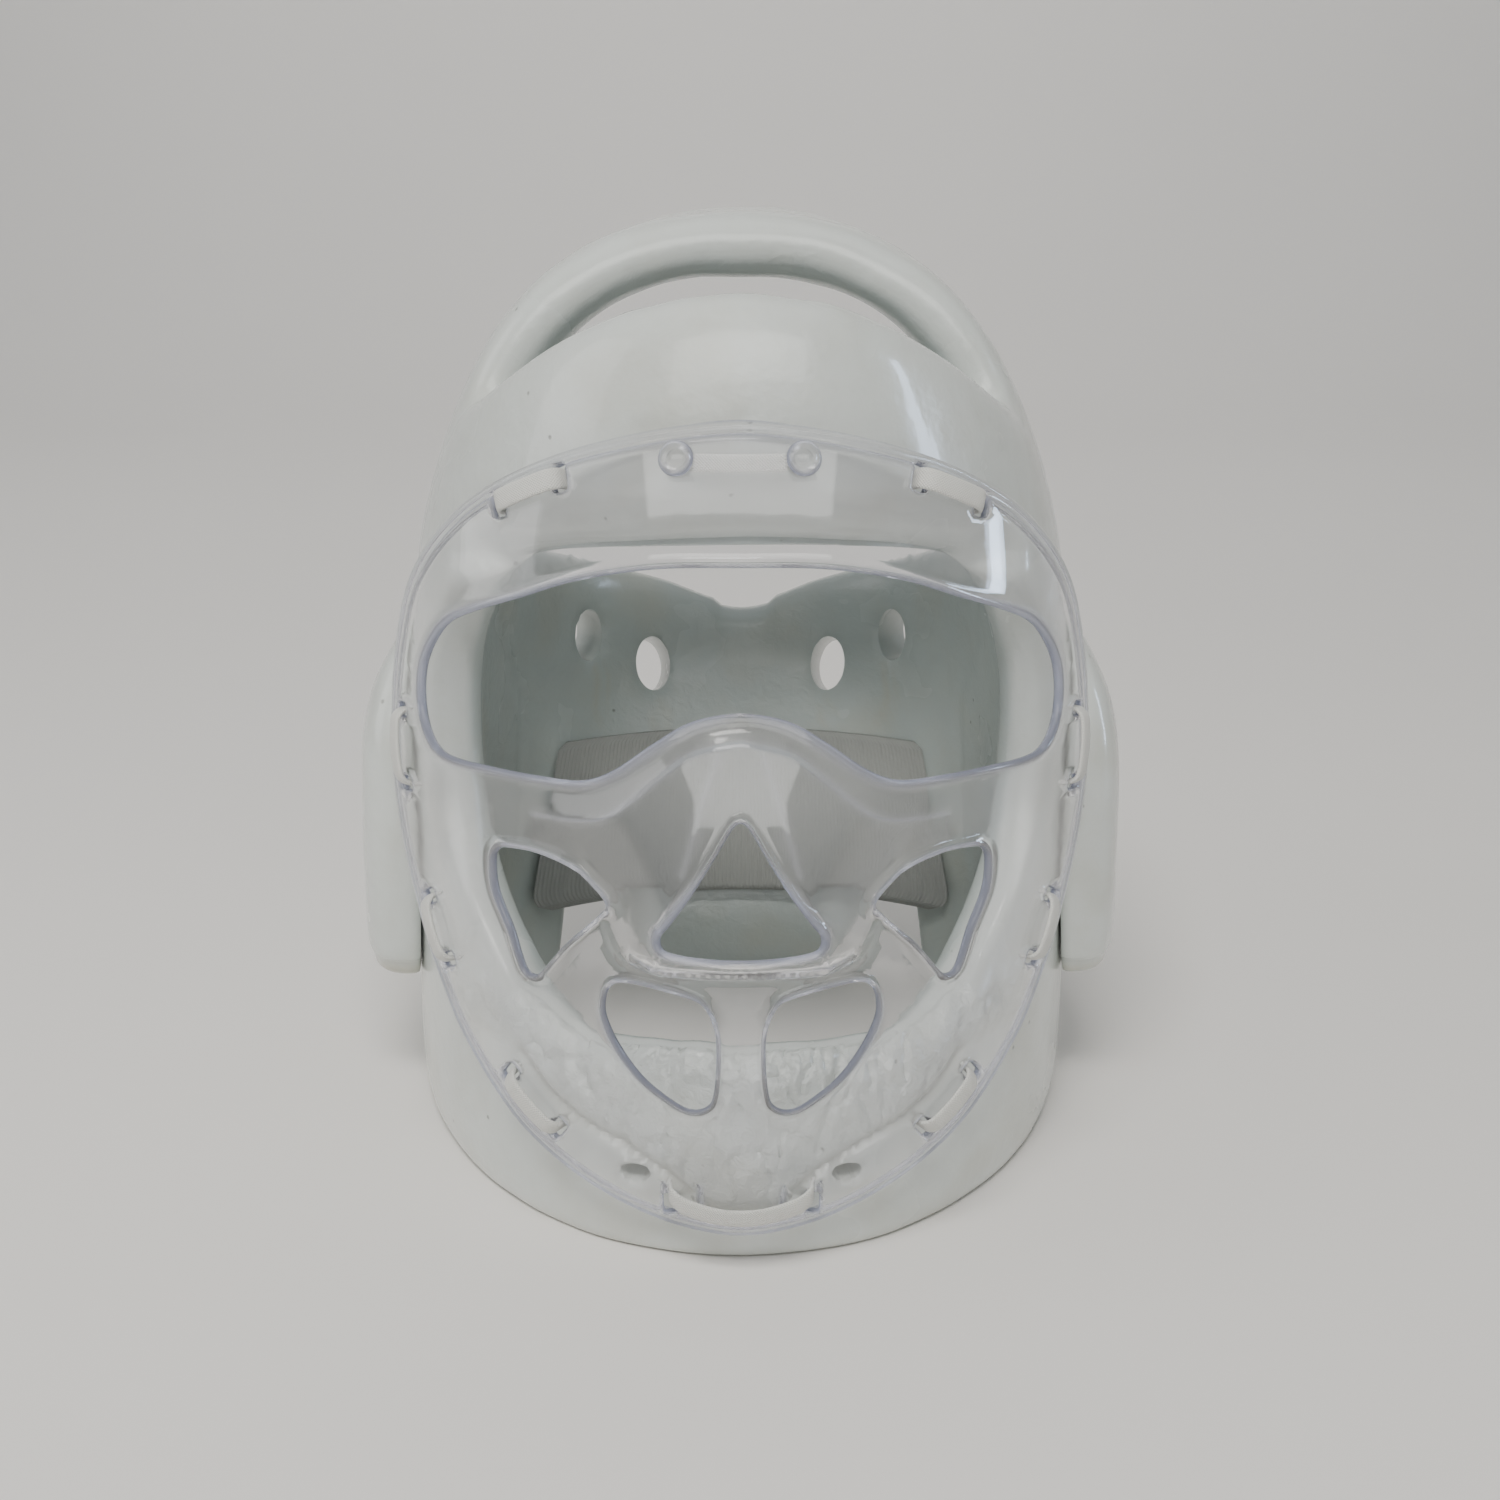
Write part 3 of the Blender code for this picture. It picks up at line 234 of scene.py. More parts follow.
# Outlines of the shield from the front: side and height as shares of the half width and the rim's height
RIM_OUTLINE = (
    (0.000, 1.000), (0.160, 0.993), (0.327, 0.976), (0.470, 0.954), (0.600, 0.925), (0.707, 0.892),
    (0.797, 0.852), (0.868, 0.809), (0.918, 0.765), (0.953, 0.712), (0.980, 0.650), (0.996, 0.581),
    (1.000, 0.517), (0.986, 0.464), (0.962, 0.412), (0.932, 0.365), (0.896, 0.313), (0.850, 0.265),
    (0.805, 0.222), (0.751, 0.186), (0.683, 0.147), (0.610, 0.113), (0.520, 0.084), (0.425, 0.060),
    (0.300, 0.034), (0.160, 0.012), (0.000, 0.000),
)
EYE_OUTLINE = (
    (0.000, 0.845), (0.203, 0.841), (0.393, 0.822), (0.550, 0.793), (0.672, 0.768), (0.752, 0.745),
    (0.805, 0.712), (0.835, 0.678), (0.842, 0.640), (0.828, 0.609), (0.795, 0.591), (0.740, 0.588),
    (0.640, 0.592), (0.520, 0.595), (0.434, 0.597), (0.368, 0.604), (0.300, 0.621), (0.205, 0.653),
    (0.112, 0.678), (0.000, 0.687),
)
NOSE_VENT = (
    (0.000, 0.583), (0.022, 0.575), (0.060, 0.547), (0.115, 0.507), (0.170, 0.470), (0.190, 0.456),
    (0.186, 0.443), (0.150, 0.438), (0.080, 0.435), (0.000, 0.434),
)
CHEEK_VENT = (
    (0.634, 0.478), (0.620, 0.494), (0.592, 0.500), (0.500, 0.504), (0.420, 0.499), (0.345, 0.480),
    (0.325, 0.467), (0.345, 0.451), (0.432, 0.408), (0.505, 0.359), (0.526, 0.348), (0.553, 0.347),
    (0.572, 0.368), (0.590, 0.397), (0.629, 0.441),
)
MOUTH_VENT = (
    (0.343, 0.336), (0.330, 0.358), (0.297, 0.368), (0.216, 0.365), (0.120, 0.354), (0.087, 0.341),
    (0.065, 0.311), (0.063, 0.266), (0.072, 0.221), (0.089, 0.205), (0.123, 0.199), (0.167, 0.207),
    (0.248, 0.238), (0.307, 0.278), (0.339, 0.313),
)

# Nose dome of the shield: height, half width of its front facet, how far it stands out, and the width of the
# side facets that lead back to the bowl
NOSE_DOME = (
    {"height": 0.340, "half": 0.205, "out": 0.0000, "slope": 0.010},
    {"height": 0.390, "half": 0.207, "out": 0.0010, "slope": 0.010},
    {"height": 0.416, "half": 0.205, "out": 0.0112, "slope": 0.011},
    {"height": 0.470, "half": 0.185, "out": 0.0118, "slope": 0.016},
    {"height": 0.525, "half": 0.140, "out": 0.0112, "slope": 0.024},
    {"height": 0.600, "half": 0.093, "out": 0.0080, "slope": 0.032},
    {"height": 0.655, "half": 0.050, "out": 0.0040, "slope": 0.036},
    {"height": 0.700, "half": 0.030, "out": 0.0010, "slope": 0.036},
)

# Ridge under the eye opening: the strip between the opening and this line slopes out, and the facets start
# at it
RIDGE = (
    {"side": 0.000, "height": 0.661, "eye": 0.687}, {"side": 0.116, "height": 0.648, "eye": 0.677},
    {"side": 0.205, "height": 0.618, "eye": 0.653}, {"side": 0.268, "height": 0.592, "eye": 0.631},
    {"side": 0.334, "height": 0.568, "eye": 0.611}, {"side": 0.400, "height": 0.557, "eye": 0.600},
    {"side": 0.500, "height": 0.550, "eye": 0.595}, {"side": 0.640, "height": 0.547, "eye": 0.592},
    {"side": 0.900, "height": 0.545, "eye": 0.590},
)
RIDGE_STEP = 0.0026
FACET_HEIGHTS = (0.525, 0.652)
NOSE_BOX_EDGES = (0.391, 0.415)
FIN_HEIGHTS = (0.042, 0.084)

# Elastic loops: the two rim slots each one runs between, as shares of the shield's half width and height
SLOT_LONG = 0.0062
SLOT_SHORT = 0.0034
LOOPS = (
    {"name": "elastic_brow", "first": (0.440, 0.930), "second": (0.602, 0.894)},
    {"name": "elastic_cheek", "first": (0.925, 0.612), "second": (0.915, 0.520)},
    {"name": "elastic_jaw", "first": (0.852, 0.386), "second": (0.800, 0.312)},
    {"name": "elastic_mouth", "first": (0.622, 0.192), "second": (0.492, 0.136)},
)
CHIN_LOOP = {"name": "elastic_chin", "first": (0.190, 0.058), "second": (-0.190, 0.058)}
CHIN_SAG = 0.0042
CHIN_FINS = (-0.203, -0.107, 0.110, 0.206)
BUTTON_SIDE = 0.149
BUTTON_HEIGHT = 0.957
BUTTON_RADIUS = 0.0040
BUTTON_DOME = 0.0032
PIN_RADIUS = 0.0016

# Run of a loop: how far along it and how far out, as a share of lying flat on the shield
LOOP_RUN = ((-0.02, -1.5), (0.0, -0.4), (0.02, 0.5), (0.12, 1.15), (0.32, 1.35), (0.5, 1.4), (0.68, 1.35),
            (0.88, 1.15), (0.98, 0.5), (1.0, -0.4), (1.02, -1.5))

# Dome of a round fixing: radius and height as shares of its own
BUTTON_PROFILE = ((0.0, 1.0), (0.25, 0.98), (0.5, 0.88), (0.75, 0.66), (0.92, 0.38), (1.0, 0.14), (0.97, 0.0))

# Ribbed elastic inside the nape
STRAP_TOP = 0.0785
STRAP_LOW = 0.0300
STRAP_TOP_HALF = 0.0605
STRAP_LOW_HALF = 0.0690

# The camera, at the photograph's angle: 19 degrees down from straight in front
CAMERA_PLACE = (0.0, -0.4916, 0.2676)
CAMERA_DOWN = 19.0
CAMERA_TURN = -0.33
CAMERA_LENS = 42.0
CAMERA_SENSOR = 36.0

# The floor sweep: its run to the front and to the back, the radius of its bend, its rise and its width
FLOOR_SWEEP = (2.4, 1.3, 0.6, 1.2, 7.0)
WORLD_COLOUR = "#E9EDF0"
WORLD_STRENGTH = 0.42

# Lights: place, what they point at, size in metres, power in watts, colour, whether they light the room and
# show in gloss, and in how many nested layers they are made, which softens their border
STAGE_LIGHTS = (
    {"name": "softbox", "place": (-0.12, -0.70, 1.21), "aim": (0.0, 0.0, 0.12), "size": (0.60, 0.28),
     "power": 14.0, "colour": "#FFFCF7", "room": True, "gloss": False, "layers": 1},
    {"name": "side_board", "place": (-1.25, -0.20, 0.55), "aim": (0.0, 0.0, 0.12), "size": (0.70, 0.90),
     "power": 3.0, "colour": "#FFFFFF", "room": True, "gloss": True, "layers": 1},
    {"name": "backdrop_wash", "place": (0.0, 0.85, 1.30), "aim": (0.0, 1.75, 0.30), "size": (1.80, 0.30),
     "power": 6.0, "colour": "#FFFFFF", "room": True, "gloss": False, "layers": 1},
    {"name": "ceiling", "place": (0.0, -0.30, 1.60), "aim": (0.0, 0.0, 0.20), "size": (1.70, 0.90),
     "power": 9.0, "colour": "#FFFFFF", "room": False, "gloss": True, "layers": 5},
    {"name": "window", "place": (1.30, -0.10, 0.42), "aim": (0.0, 0.0, 0.12), "size": (0.13, 0.60),
     "power": 4.0, "colour": "#CFE4FF", "room": False, "gloss": True, "layers": 1},
    {"name": "bright_wall", "place": (0.0, -1.60, 1.06), "aim": (0.0, 0.0, 0.12), "size": (2.30, 0.72),
     "power": 74.0, "colour": "#FFFFFB", "room": False, "gloss": True, "layers": 6},
)
LAYER_SHARES = (0.66, 1.0)


# Small tools


def linear(text):
    """A hex colour as the linear colour that a shader takes."""
    parts = [int(text[i:i + 2], 16) / 255 for i in (1, 3, 5)]
    return tuple(c / 12.92 if c <= 0.04045 else ((c + 0.055) / 1.055) ** 2.4 for c in parts)


def mix(a, b, share):
    return a + (b - a) * share


def smooth(value):
    value = np.clip(value, 0.0, 1.0)
    return value * value * (3.0 - 2.0 * value)


def ramp(value, corner=0.07):
    """0 below 0 and 1 above 1, straight between, with small rounded corners."""
    value = np.clip(value, -3.0, 4.0)
    return corner * (np.logaddexp(0.0, value / corner) - np.logaddexp(0.0, (value - 1.0) / corner))


def bell(distance, wide):
    """1 where the distance is zero, fading to 0 over about twice the width."""
    return np.exp(-(distance / wide) ** 2)


def blunt(value, power):
    """A sine or cosine pushed towards 1 and -1, which squares a circle off."""
    return math.copysign(abs(value) ** power, value)


def read(table, at, column, key="height"):
    """A column of a table at a place between its rows."""
    return float(np.interp(at, [row[key] for row in table], [row[column] for row in table]))


def rounded(points, per_span, closed=True):
    """A smooth line through the points, as a Catmull-Rom curve."""
    points = np.array(points, float)
    count = len(points)
    out = []
    for i in range(count if closed else count - 1):
        at = [(i + k) % count if closed else min(max(i + k, 0), count - 1) for k in (-1, 0, 1, 2)]
        a, b, c, d = points[at]
        for j in range(per_span):
            s = j / per_span
            out.append(0.5 * (2 * b + (c - a) * s + (2 * a - 5 * b + 4 * c - d) * s * s
                              + (3 * b - a - 3 * c + d) * s ** 3))
    if not closed:
        out.append(points[-1])
    return np.array(out)


def even(points, step):
    """The same closed line with corners about one step apart, an even number of them."""
    points = np.array(points, float)
    ring = np.vstack([points, points[:1]])
    gone = np.concatenate([[0.0], np.cumsum(np.linalg.norm(np.diff(ring, axis=0), axis=1))])
    pieces = max(6, 2 * round(gone[-1] / step / 2))
    at = gone[-1] * np.arange(pieces) / pieces
    return np.stack([np.interp(at, gone, ring[:, k]) for k in range(ring.shape[1])], axis=1)


def smooth_curve(table, column, key="height"):
    """A table's column as a smooth function of its key, for arrays."""
    line = rounded([(row[key], row[column]) for row in table], 12, closed=False)
    return lambda at: np.interp(at, line[:, 0], line[:, 1])


def away(points, line, closed=True):
    """Distance from each 2-D point to a line."""
    line = np.array(line, float)
    ends = np.vstack([line, line[:1]]) if closed else line
    best = np.full(len(points), 1e9)
    for a, b in zip(ends, ends[1:]):
        way = b - a
        share = np.clip(((points - a) @ way) / max(way @ way, 1e-14), 0.0, 1.0)
        best = np.minimum(best, np.hypot(*(points - a - share[:, None] * way).T))
    return best


def nearest(points, lines, closed=True):
    """Distance from each 2-D point to the nearest of some lines."""
    return np.min([away(points, line, closed) for line in lines], axis=0)


def within(points, line):
    """Whether each 2-D point lies inside a closed line."""
    line = np.array(line, float)
    answer = np.zeros(len(points), bool)
    x, z = points.T
    for (x0, z0), (x1, z1) in zip(line, np.roll(line, -1, axis=0)):
        crosses = (z0 > z) != (z1 > z)
        answer ^= crosses & (x < x0 + (z - z0) * (x1 - x0) / (z1 - z0 if z1 != z0 else 1e-12))
    return answer


def cloud(places, size, seed, octaves=2):
    """Smooth noise from -1 to 1 at each place, with lumps of about the given size."""
    out = np.zeros(len(places))
    for octave in range(octaves):
        scale = 2 ** octave / size
        shift = Vector((seed * 7.3, seed * 3.1, octave * 5.7))
        out += np.array([noise.noise(Vector(p) * scale + shift) for p in places]) / 2 ** octave
    return out


# Meshes and objects


def make_object(name, bm):
    """An object at the origin from a bmesh, shaded smooth."""
    mesh = bpy.data.meshes.new(name)
    bm.to_mesh(mesh)
    bm.free()
    mesh.shade_smooth()
    obj = bpy.data.objects.new(name, mesh)
    bpy.context.scene.collection.objects.link(obj)
    return obj


def face_outwards(bm):
    bmesh.ops.recalc_face_normals(bm, faces=bm.faces)
    if bm.calc_volume(signed=True) < 0:
        bmesh.ops.reverse_faces(bm, faces=bm.faces)


def apply_modifiers(obj):
    """The object's mesh with its modifiers worked in."""
    graph = bpy.context.evaluated_depsgraph_get()
    mesh = bpy.data.meshes.new_from_object(obj.evaluated_get(graph))
    obj.modifiers.clear()
    old = obj.data
    obj.data = mesh
    bpy.data.meshes.remove(old)
    mesh.name = obj.name
    return mesh


def read_places(mesh):
    """Vertex places and normals as arrays."""
    places = np.empty(len(mesh.vertices) * 3)
    normals = np.empty(len(mesh.vertices) * 3, np.float32)
    mesh.vertices.foreach_get("co", places)
    mesh.vertex_normals.foreach_get("vector", normals)
    return places.reshape(-1, 3), normals.reshape(-1, 3).astype(float)


def write_places(mesh, places):
    mesh.vertices.foreach_set("co", places.ravel())
    mesh.update()


def paint(mesh, name, values):
    """A value from 0 to 1 at each vertex, for the material to read."""
    layer = mesh.attributes.get(name) or mesh.attributes.new(name, "FLOAT", "POINT")
    layer.data.foreach_set("value", np.clip(values, 0.0, 1.0).astype(np.float32))


def only(kind, made):
    """The items of one kind among those that a mesh tool gives back."""
    return [item for item in made if isinstance(item, kind)]


def loft(bm, rings):
    """Skins a run of rings of the same count: a circle is moved to the first, and each next one extruded."""
    count = len(rings[0])
    line = list(bmesh.ops.create_circle(bm, segments=count, radius=1.0)["verts"])
    for v, place in zip(line, rings[0]):
        v.co = place
    edges = [bm.edges.get((line[k], line[(k + 1) % count])) for k in range(count)]
    made = [line]
    for ring in rings[1:]:
        spot = {tuple(v.co): k for k, v in enumerate(line)}
        fresh = bmesh.ops.extrude_edge_only(bm, edges=edges)["geom"]
        edges = only(bmesh.types.BMEdge, fresh)
        line = sorted(only(bmesh.types.BMVert, fresh), key=lambda v: spot[tuple(v.co)])
        for v, place in zip(line, ring):
            v.co = place
        made.append(line)
    return made


def cap(bm, ring):
    """Closes a ring of vertices with a fan."""
    edges = [bm.edges.get((ring[k], ring[(k + 1) % len(ring)])) for k in range(len(ring))]
    faces = bmesh.ops.contextual_create(bm, geom=edges)["faces"]
    bmesh.ops.poke(bm, faces=faces)


# Foam guard


def plan_point(height, angle, inset, swell=1.0):
    """A point of the guard's plan at a height share and plan angle in degrees, moved in by the inset."""
    turn = math.radians(angle)
    s, c = math.sin(turn), math.cos(turn)
    half = SHELL_HALF_WIDTH * read(SHELL_PLAN, height, "half") - inset
    if c >= 0:
        front = SHELL_FRONT * read(SHELL_PLAN, height, "front") - inset
        x, y = half * s, -front * c
    else:
        power = 2.0 / mix(2.0, read(SHELL_PLAN, height, "square"), float(smooth(-c * 2.0)))
        rear = SHELL_REAR * read(SHELL_PLAN, height, "rear") - inset
        x, y = half * abs(s) ** power, rear * abs(c) ** power
    return Vector((x * swell, y * swell, height * GUARD_HEIGHT))


def cage_columns(row):
    """Plan angles of one half of a row, from the front to the rear."""
    edge, front, rear, slot = FACE_EDGE[row], HOOP_FRONT[row], HOOP_REAR[row], SLOT_EDGE[row]
    angles = [edge * share for share in FRONT_SHARES]
    angles += [mix(edge, front, share) for share in CHEEK_SHARES]
    angles += [mix(front, rear, share) for share in HOOP_SHARES]
    angles += [mix(rear, slot, share) for share in FLANK_SHARES]
    return angles + list(NAPE_ANGLES)


def row_height(row, angle):
    """Height share of a row at a plan angle, read between the named places of its row."""
    places = (("front", 0.0), ("edge", FACE_EDGE[row]), ("hoop_front", HOOP_FRONT[row]),
              ("hoop_rear", HOOP_REAR[row]), ("quarter", SLOT_EDGE[row]), ("nape", NAPE_ANGLES[1]),
              ("rear", NAPE_ANGLES[-1]))
    known = [(at, ROWS[row][name]) for name, at in places if ROWS[row][name] is not None]
    if angle <= known[0][0]:
        return known[0][1]
    for (a, low), (b, high) in zip(known, known[1:]):
        if angle <= b:
            share = (angle - a) / (b - a)
            return mix(low, high, share ** 2 if a == 0.0 else share)
    return known[-1][1]


def cell_open(row, column):
    """Whether the cell above a row and behind a column is one of the guard's openings."""
    edge = len(FRONT_SHARES) - 1
    hoop_rear = edge + len(CHEEK_SHARES) + len(HOOP_SHARES)
    if column < edge:
        return CHIN_TOP_ROW <= row < BAND_ROW
    if column >= hoop_rear and row >= REAR_TOP_ROW:
        return True
    return column == hoop_rear + len(FLANK_SHARES) and row < SLOT_TOP_ROW


def guard_cage(foam):
    """The foam's middle surface: a grid rolled into a ring, its openings cut, and the hoop extruded over."""
    bm = bmesh.new()
    half = len(cage_columns(0)) - 1
    ring, rows = 2 * half, len(ROWS) - 1
    bmesh.ops.create_grid(bm, x_segments=ring, y_segments=rows, size=0.5)
    gone = []
    for face in bm.faces:
        centre = face.calc_center_median()
        column = int((centre.x + 0.5) * ring)
        row = int((centre.y + 0.5) * rows)
        if cell_open(row, column if column < half else ring - 1 - column):
            gone.append(face)
    corner = {(round((v.co.y + 0.5) * rows), round((v.co.x + 0.5) * ring)): v for v in bm.verts}
    for (row, column), v in corner.items():
        k = column if column <= half else ring - column
        angle = cage_columns(row)[k]
        v.co = plan_point(row_height(row, angle), angle, foam / 2, 1.010)
        v.co.x *= 1.0 if column <= half else -1.0
    bmesh.ops.delete(bm, geom=gone, context="FACES")
    first = len(FRONT_SHARES) + len(CHEEK_SHARES)
    count = len(HOOP_SHARES)
    edges = [bm.edges.get((corner[rows, first + k], corner[rows, first + k + 1])) for k in range(count - 1)]
    arch = list(HOOP_ARCH) + [dict(row, side=-row["side"]) for row in reversed(HOOP_ARCH[:-1])]
    goals = []
    for row in arch:
        side, high = row["side"] * SHELL_HALF_WIDTH, row["height"] * GUARD_HEIGHT
        depths = [mix(row["front"], row["rear"], k / (count - 1)) * SHELL_FRONT for k in range(count)]
        goals.append([Vector((side, y, high)) for y in depths])
    goals.append([corner[rows, ring - first - k].co.copy() for k in range(count)])
    for goal in goals:
        fresh = bmesh.ops.extrude_edge_only(bm, edges=edges)["geom"]
        edges = only(bmesh.types.BMEdge, fresh)
        line = sorted(only(bmesh.types.BMVert, fresh), key=lambda v: v.co.y)
        for v, place in zip(line, goal):
            v.co = place
    bmesh.ops.remove_doubles(bm, verts=bm.verts, dist=1e-5)
    bmesh.ops.recalc_face_normals(bm, faces=bm.faces)
    middle = Vector((0, 0, GUARD_HEIGHT * 0.4))
    if sum(f.normal.dot(f.calc_center_median() - middle) for f in bm.faces) < 0:
        bmesh.ops.reverse_faces(bm, faces=bm.faces)
    return bm


def rear_wall(side, height, foam):
    """Middle of the rear wall at a side position and height share, and the way out of it."""
    low, high = 91.0, 179.0
    for _ in range(40):
        middle = (low + high) / 2
        if plan_point(height, middle, foam / 2).x > side:
            low = middle
        else:
            high = middle
    here = plan_point(height, low, foam / 2)
    along = plan_point(height, low + 2.0, foam / 2) - plan_point(height, low - 2.0, foam / 2)
    rise = plan_point(height + 0.02, low, foam / 2) - plan_point(height - 0.02, low, foam / 2)
    out = along.cross(rise)
    if out.y < 0:
        out.negate()
    return here, out.normalized()


def vent_list(foam):
    """Every vent of the foam: centre, way out, width, height."""
    vents = []
    for vent in REAR_VENTS:
        for side in (1.0, -1.0):
            centre, out = rear_wall(vent["side"] * SHELL_HALF_WIDTH, vent["height"], foam)
            vents.append((Vector((centre.x * side, centre.y, centre.z)), Vector((out.x * side, out.y, out.z)),
                          vent["width"], vent["tall"]))
    for side in (1.0, -1.0):
        centre = Vector((side * CHIN_VENT["side"], -SHELL_FRONT * 0.88, CHIN_VENT["height"]))
        out = Vector((side * 0.2, -1.0, 0.0)).normalized()
        vents.append((centre, out, CHIN_VENT["width"], CHIN_VENT["tall"]))
    return vents


def vent_axes(out):
    across = out.cross(Vector((0, 0, 1))).normalized()
    return across, across.cross(out).normalized()


def inner_side(places, normals):
    """1 where the skin faces the head hollow and 0 outside, with a soft change round the edges."""
    # This mask sets where shade is painted into the foam's colour inside the guard, and where its coat is
    # thinner.
    middle = np.stack([places[:, 0] * 0.0, places[:, 1] * 0.0, np.minimum(places[:, 2], 0.13)], axis=1)
    way = places - middle
    way /= np.linalg.norm(way, axis=1, keepdims=True)
    return smooth((0.05 - (normals * way).sum(axis=1)) / 0.4)


def faces_hollow(places, normals):
    """Whether the skin faces the middle of the guard."""
    return (normals * (places - np.array(HOLLOW_MIDDLE))).sum(axis=1) < 0


def chin_zone(places, inner):
    """1 on the outer skin of the chin and the jaw's front, fading to 0 at the sides and above."""
    _, y, z = places.T
    return smooth((-y - CHIN_BACK) / 0.012) * smooth((CHIN_HIGH - z) / 0.008) * ~inner


def crease_height(x):
    """Height of the chin's crease at each side position."""
    return np.interp(np.abs(x), *zip(*CHIN_CREASE))


def crease_distance(places):
    """Distance from the chin's crease, in the front view."""
    return away(np.stack([np.abs(places[:, 0]), places[:, 2]], axis=1), CHIN_CREASE, closed=False)


def skin_relief(places, inner, foam, vents):
    """How far the skin lies out from its smooth form: lumps, chin pad, creases, seams and vent mouths."""
    x, y, z = places.T
    front, flank = np.stack([x, z], axis=1), np.stack([y, z], axis=1)
    chin = chin_zone(places, inner)
    out = sum(row["high"] * cloud(places, row["size"], row["seed"]) for row in SKIN_LUMPS)
    above = smooth((z - crease_height(x)) / CHIN_PAD["fade"])
    crease = bell(crease_distance(places), CHIN_PAD["wide"])
    out += chin * (CHIN_PAD["high"] * above - CHIN_PAD["crease"] * crease)
    crumple = cloud(places * CHIN_CRUMPLE["stretch"], CHIN_CRUMPLE["size"], 3, 3)
    out -= chin * above * CHIN_CRUMPLE["deep"] * bell(crumple, CHIN_CRUMPLE["thin"])
    out += chin * above * CHIN_LUMPS["high"] * cloud(places * CHIN_LUMPS["stretch"], CHIN_LUMPS["size"], 3, 3)
    for fold in CHIN_FOLDS:
        out -= chin * fold["deep"] * bell(away(front, fold["line"], closed=False), FOLD_WIDE)
    band = smooth((-y - 0.070) / 0.015) * smooth((z - 0.178) / 0.006)
    out -= band * BAND_CREASE_DEEP * bell(away(front, BAND_CREASE, closed=False), 0.0022)
    sides = inner * smooth((np.abs(x) - 0.050) / 0.010)
    out -= sides * FLANK_SEAM_DEEP * bell(away(flank, FLANK_SEAM, closed=False), 0.0015)
    rear = smooth((y - 0.060) / 0.015) * smooth((z - 0.070) / 0.010)
    out -= inner * rear * REAR_SEAM_DEEP * bell(x, 0.0016)
    for centre, way, width, tall in vents:
        across, up = vent_axes(way)
        from_vent = places - np.array(centre)
        oval = np.hypot(from_vent @ np.array(across) / (width / 2), from_vent @ np.array(up) / (tall / 2))
        near = np.abs(from_vent @ np.array(way)) < foam
        out -= near * VENT_MOUTH_DEEP * bell(np.maximum(oval - 1.0, 0.0), 0.16)
    return out


def sculpt_guard(mesh, foam, vents):
    """Works the skin's relief in, bevels the band's underside, shapes the upper edges and rests it flat."""
    places, normals = read_places(mesh)
    inner = faces_hollow(places, normals)
    places += normals * skin_relief(places, inner, foam, vents)[:, None]
    x, y, z = places.T
    side = np.abs(x)
    under = np.interp(side, *zip(*BAND_LOWER_EDGE)) - z
    band = smooth((0.5 - normals[:, 1]) / 0.8) * smooth((-y - 0.055) / 0.020) * smooth((z - 0.165) / 0.006)
    places[:, 1] += band * BAND_BEVEL["in"] * ramp(under / BAND_BEVEL["tall"], 0.08)
    top = smooth((y - 0.060) / 0.010) * smooth((z - 0.100) / 0.008)
    swell = REAR_TOP["rise"] * bell(side, 0.020) - REAR_TOP["dip"] * bell(side - 0.036, 0.014)
    places[:, 2] += top * (swell - REAR_TOP["notch"] * smooth((0.0105 - np.abs(x - 0.001)) / 0.0012))
    edge = smooth((z - 0.050) / 0.010) * smooth((-y - 0.060) / 0.012) * smooth((0.075 - z) / 0.010)
    places[:, 2] += edge * CHIN_EDGE_WAVE * cloud(places, 0.013, 4)
    hoop = smooth((z - 0.225) / 0.012)
    places[:, 2] += hoop * HOOP_WAVE * cloud(places, 0.020, 5)
    places[:, 2] = RIM_SOFT * np.logaddexp(0.0, places[:, 2] / RIM_SOFT)
    write_places(mesh, places)


def mark_soil_and_shade(mesh, vents):
    """Marks where the skin is stained, wrinkled or turned inwards, for its material, and where shade is
    painted into its colour: along the chin's crease and on the inward skin. The skin is also darker towards
    its bottom edge.
    """
    places, normals = read_places(mesh)
    x, y, z = places.T
    inner = faces_hollow(places, normals)
    soil_and_shade = 0.25 * smooth((cloud(places, 0.030, 6) - 0.15) / 0.5)
    for centre, way, _, tall in vents[:4]:
        across, _ = vent_axes(way)
        side = (places - np.array(centre)) @ np.array(across)
        below = centre.z - z
        wander = side + DRIP["wander"] * np.sin(below * DRIP["turns"] + centre.x * 90.0)
        run = 0.45 * bell(wander, DRIP["wide"]) + 0.25 * bell(wander - DRIP["second"], 0.0009)
        starts = smooth((below - tall * 0.35) / 0.006)
        soil_and_shade += inner * (y > 0.03) * run * starts * smooth((DRIP["long"] - below) / 0.025)
    chin = chin_zone(places, inner)
    # Painted shade: the chin's crease is darkened in the stain colour.
    soil_and_shade += chin * 0.3 * bell(crease_distance(places), 0.0016)
    # The skin is darker towards its bottom edge.
    soil_and_shade += 0.3 * smooth((0.004 - z) / 0.004)
    paint(mesh, "soil_and_shade", soil_and_shade)
    paint(mesh, "wrinkle", chin * smooth((z - crease_height(x)) / 0.004) + 0.25 * inner)
    paint(mesh, "inside", inner_side(places, normals))


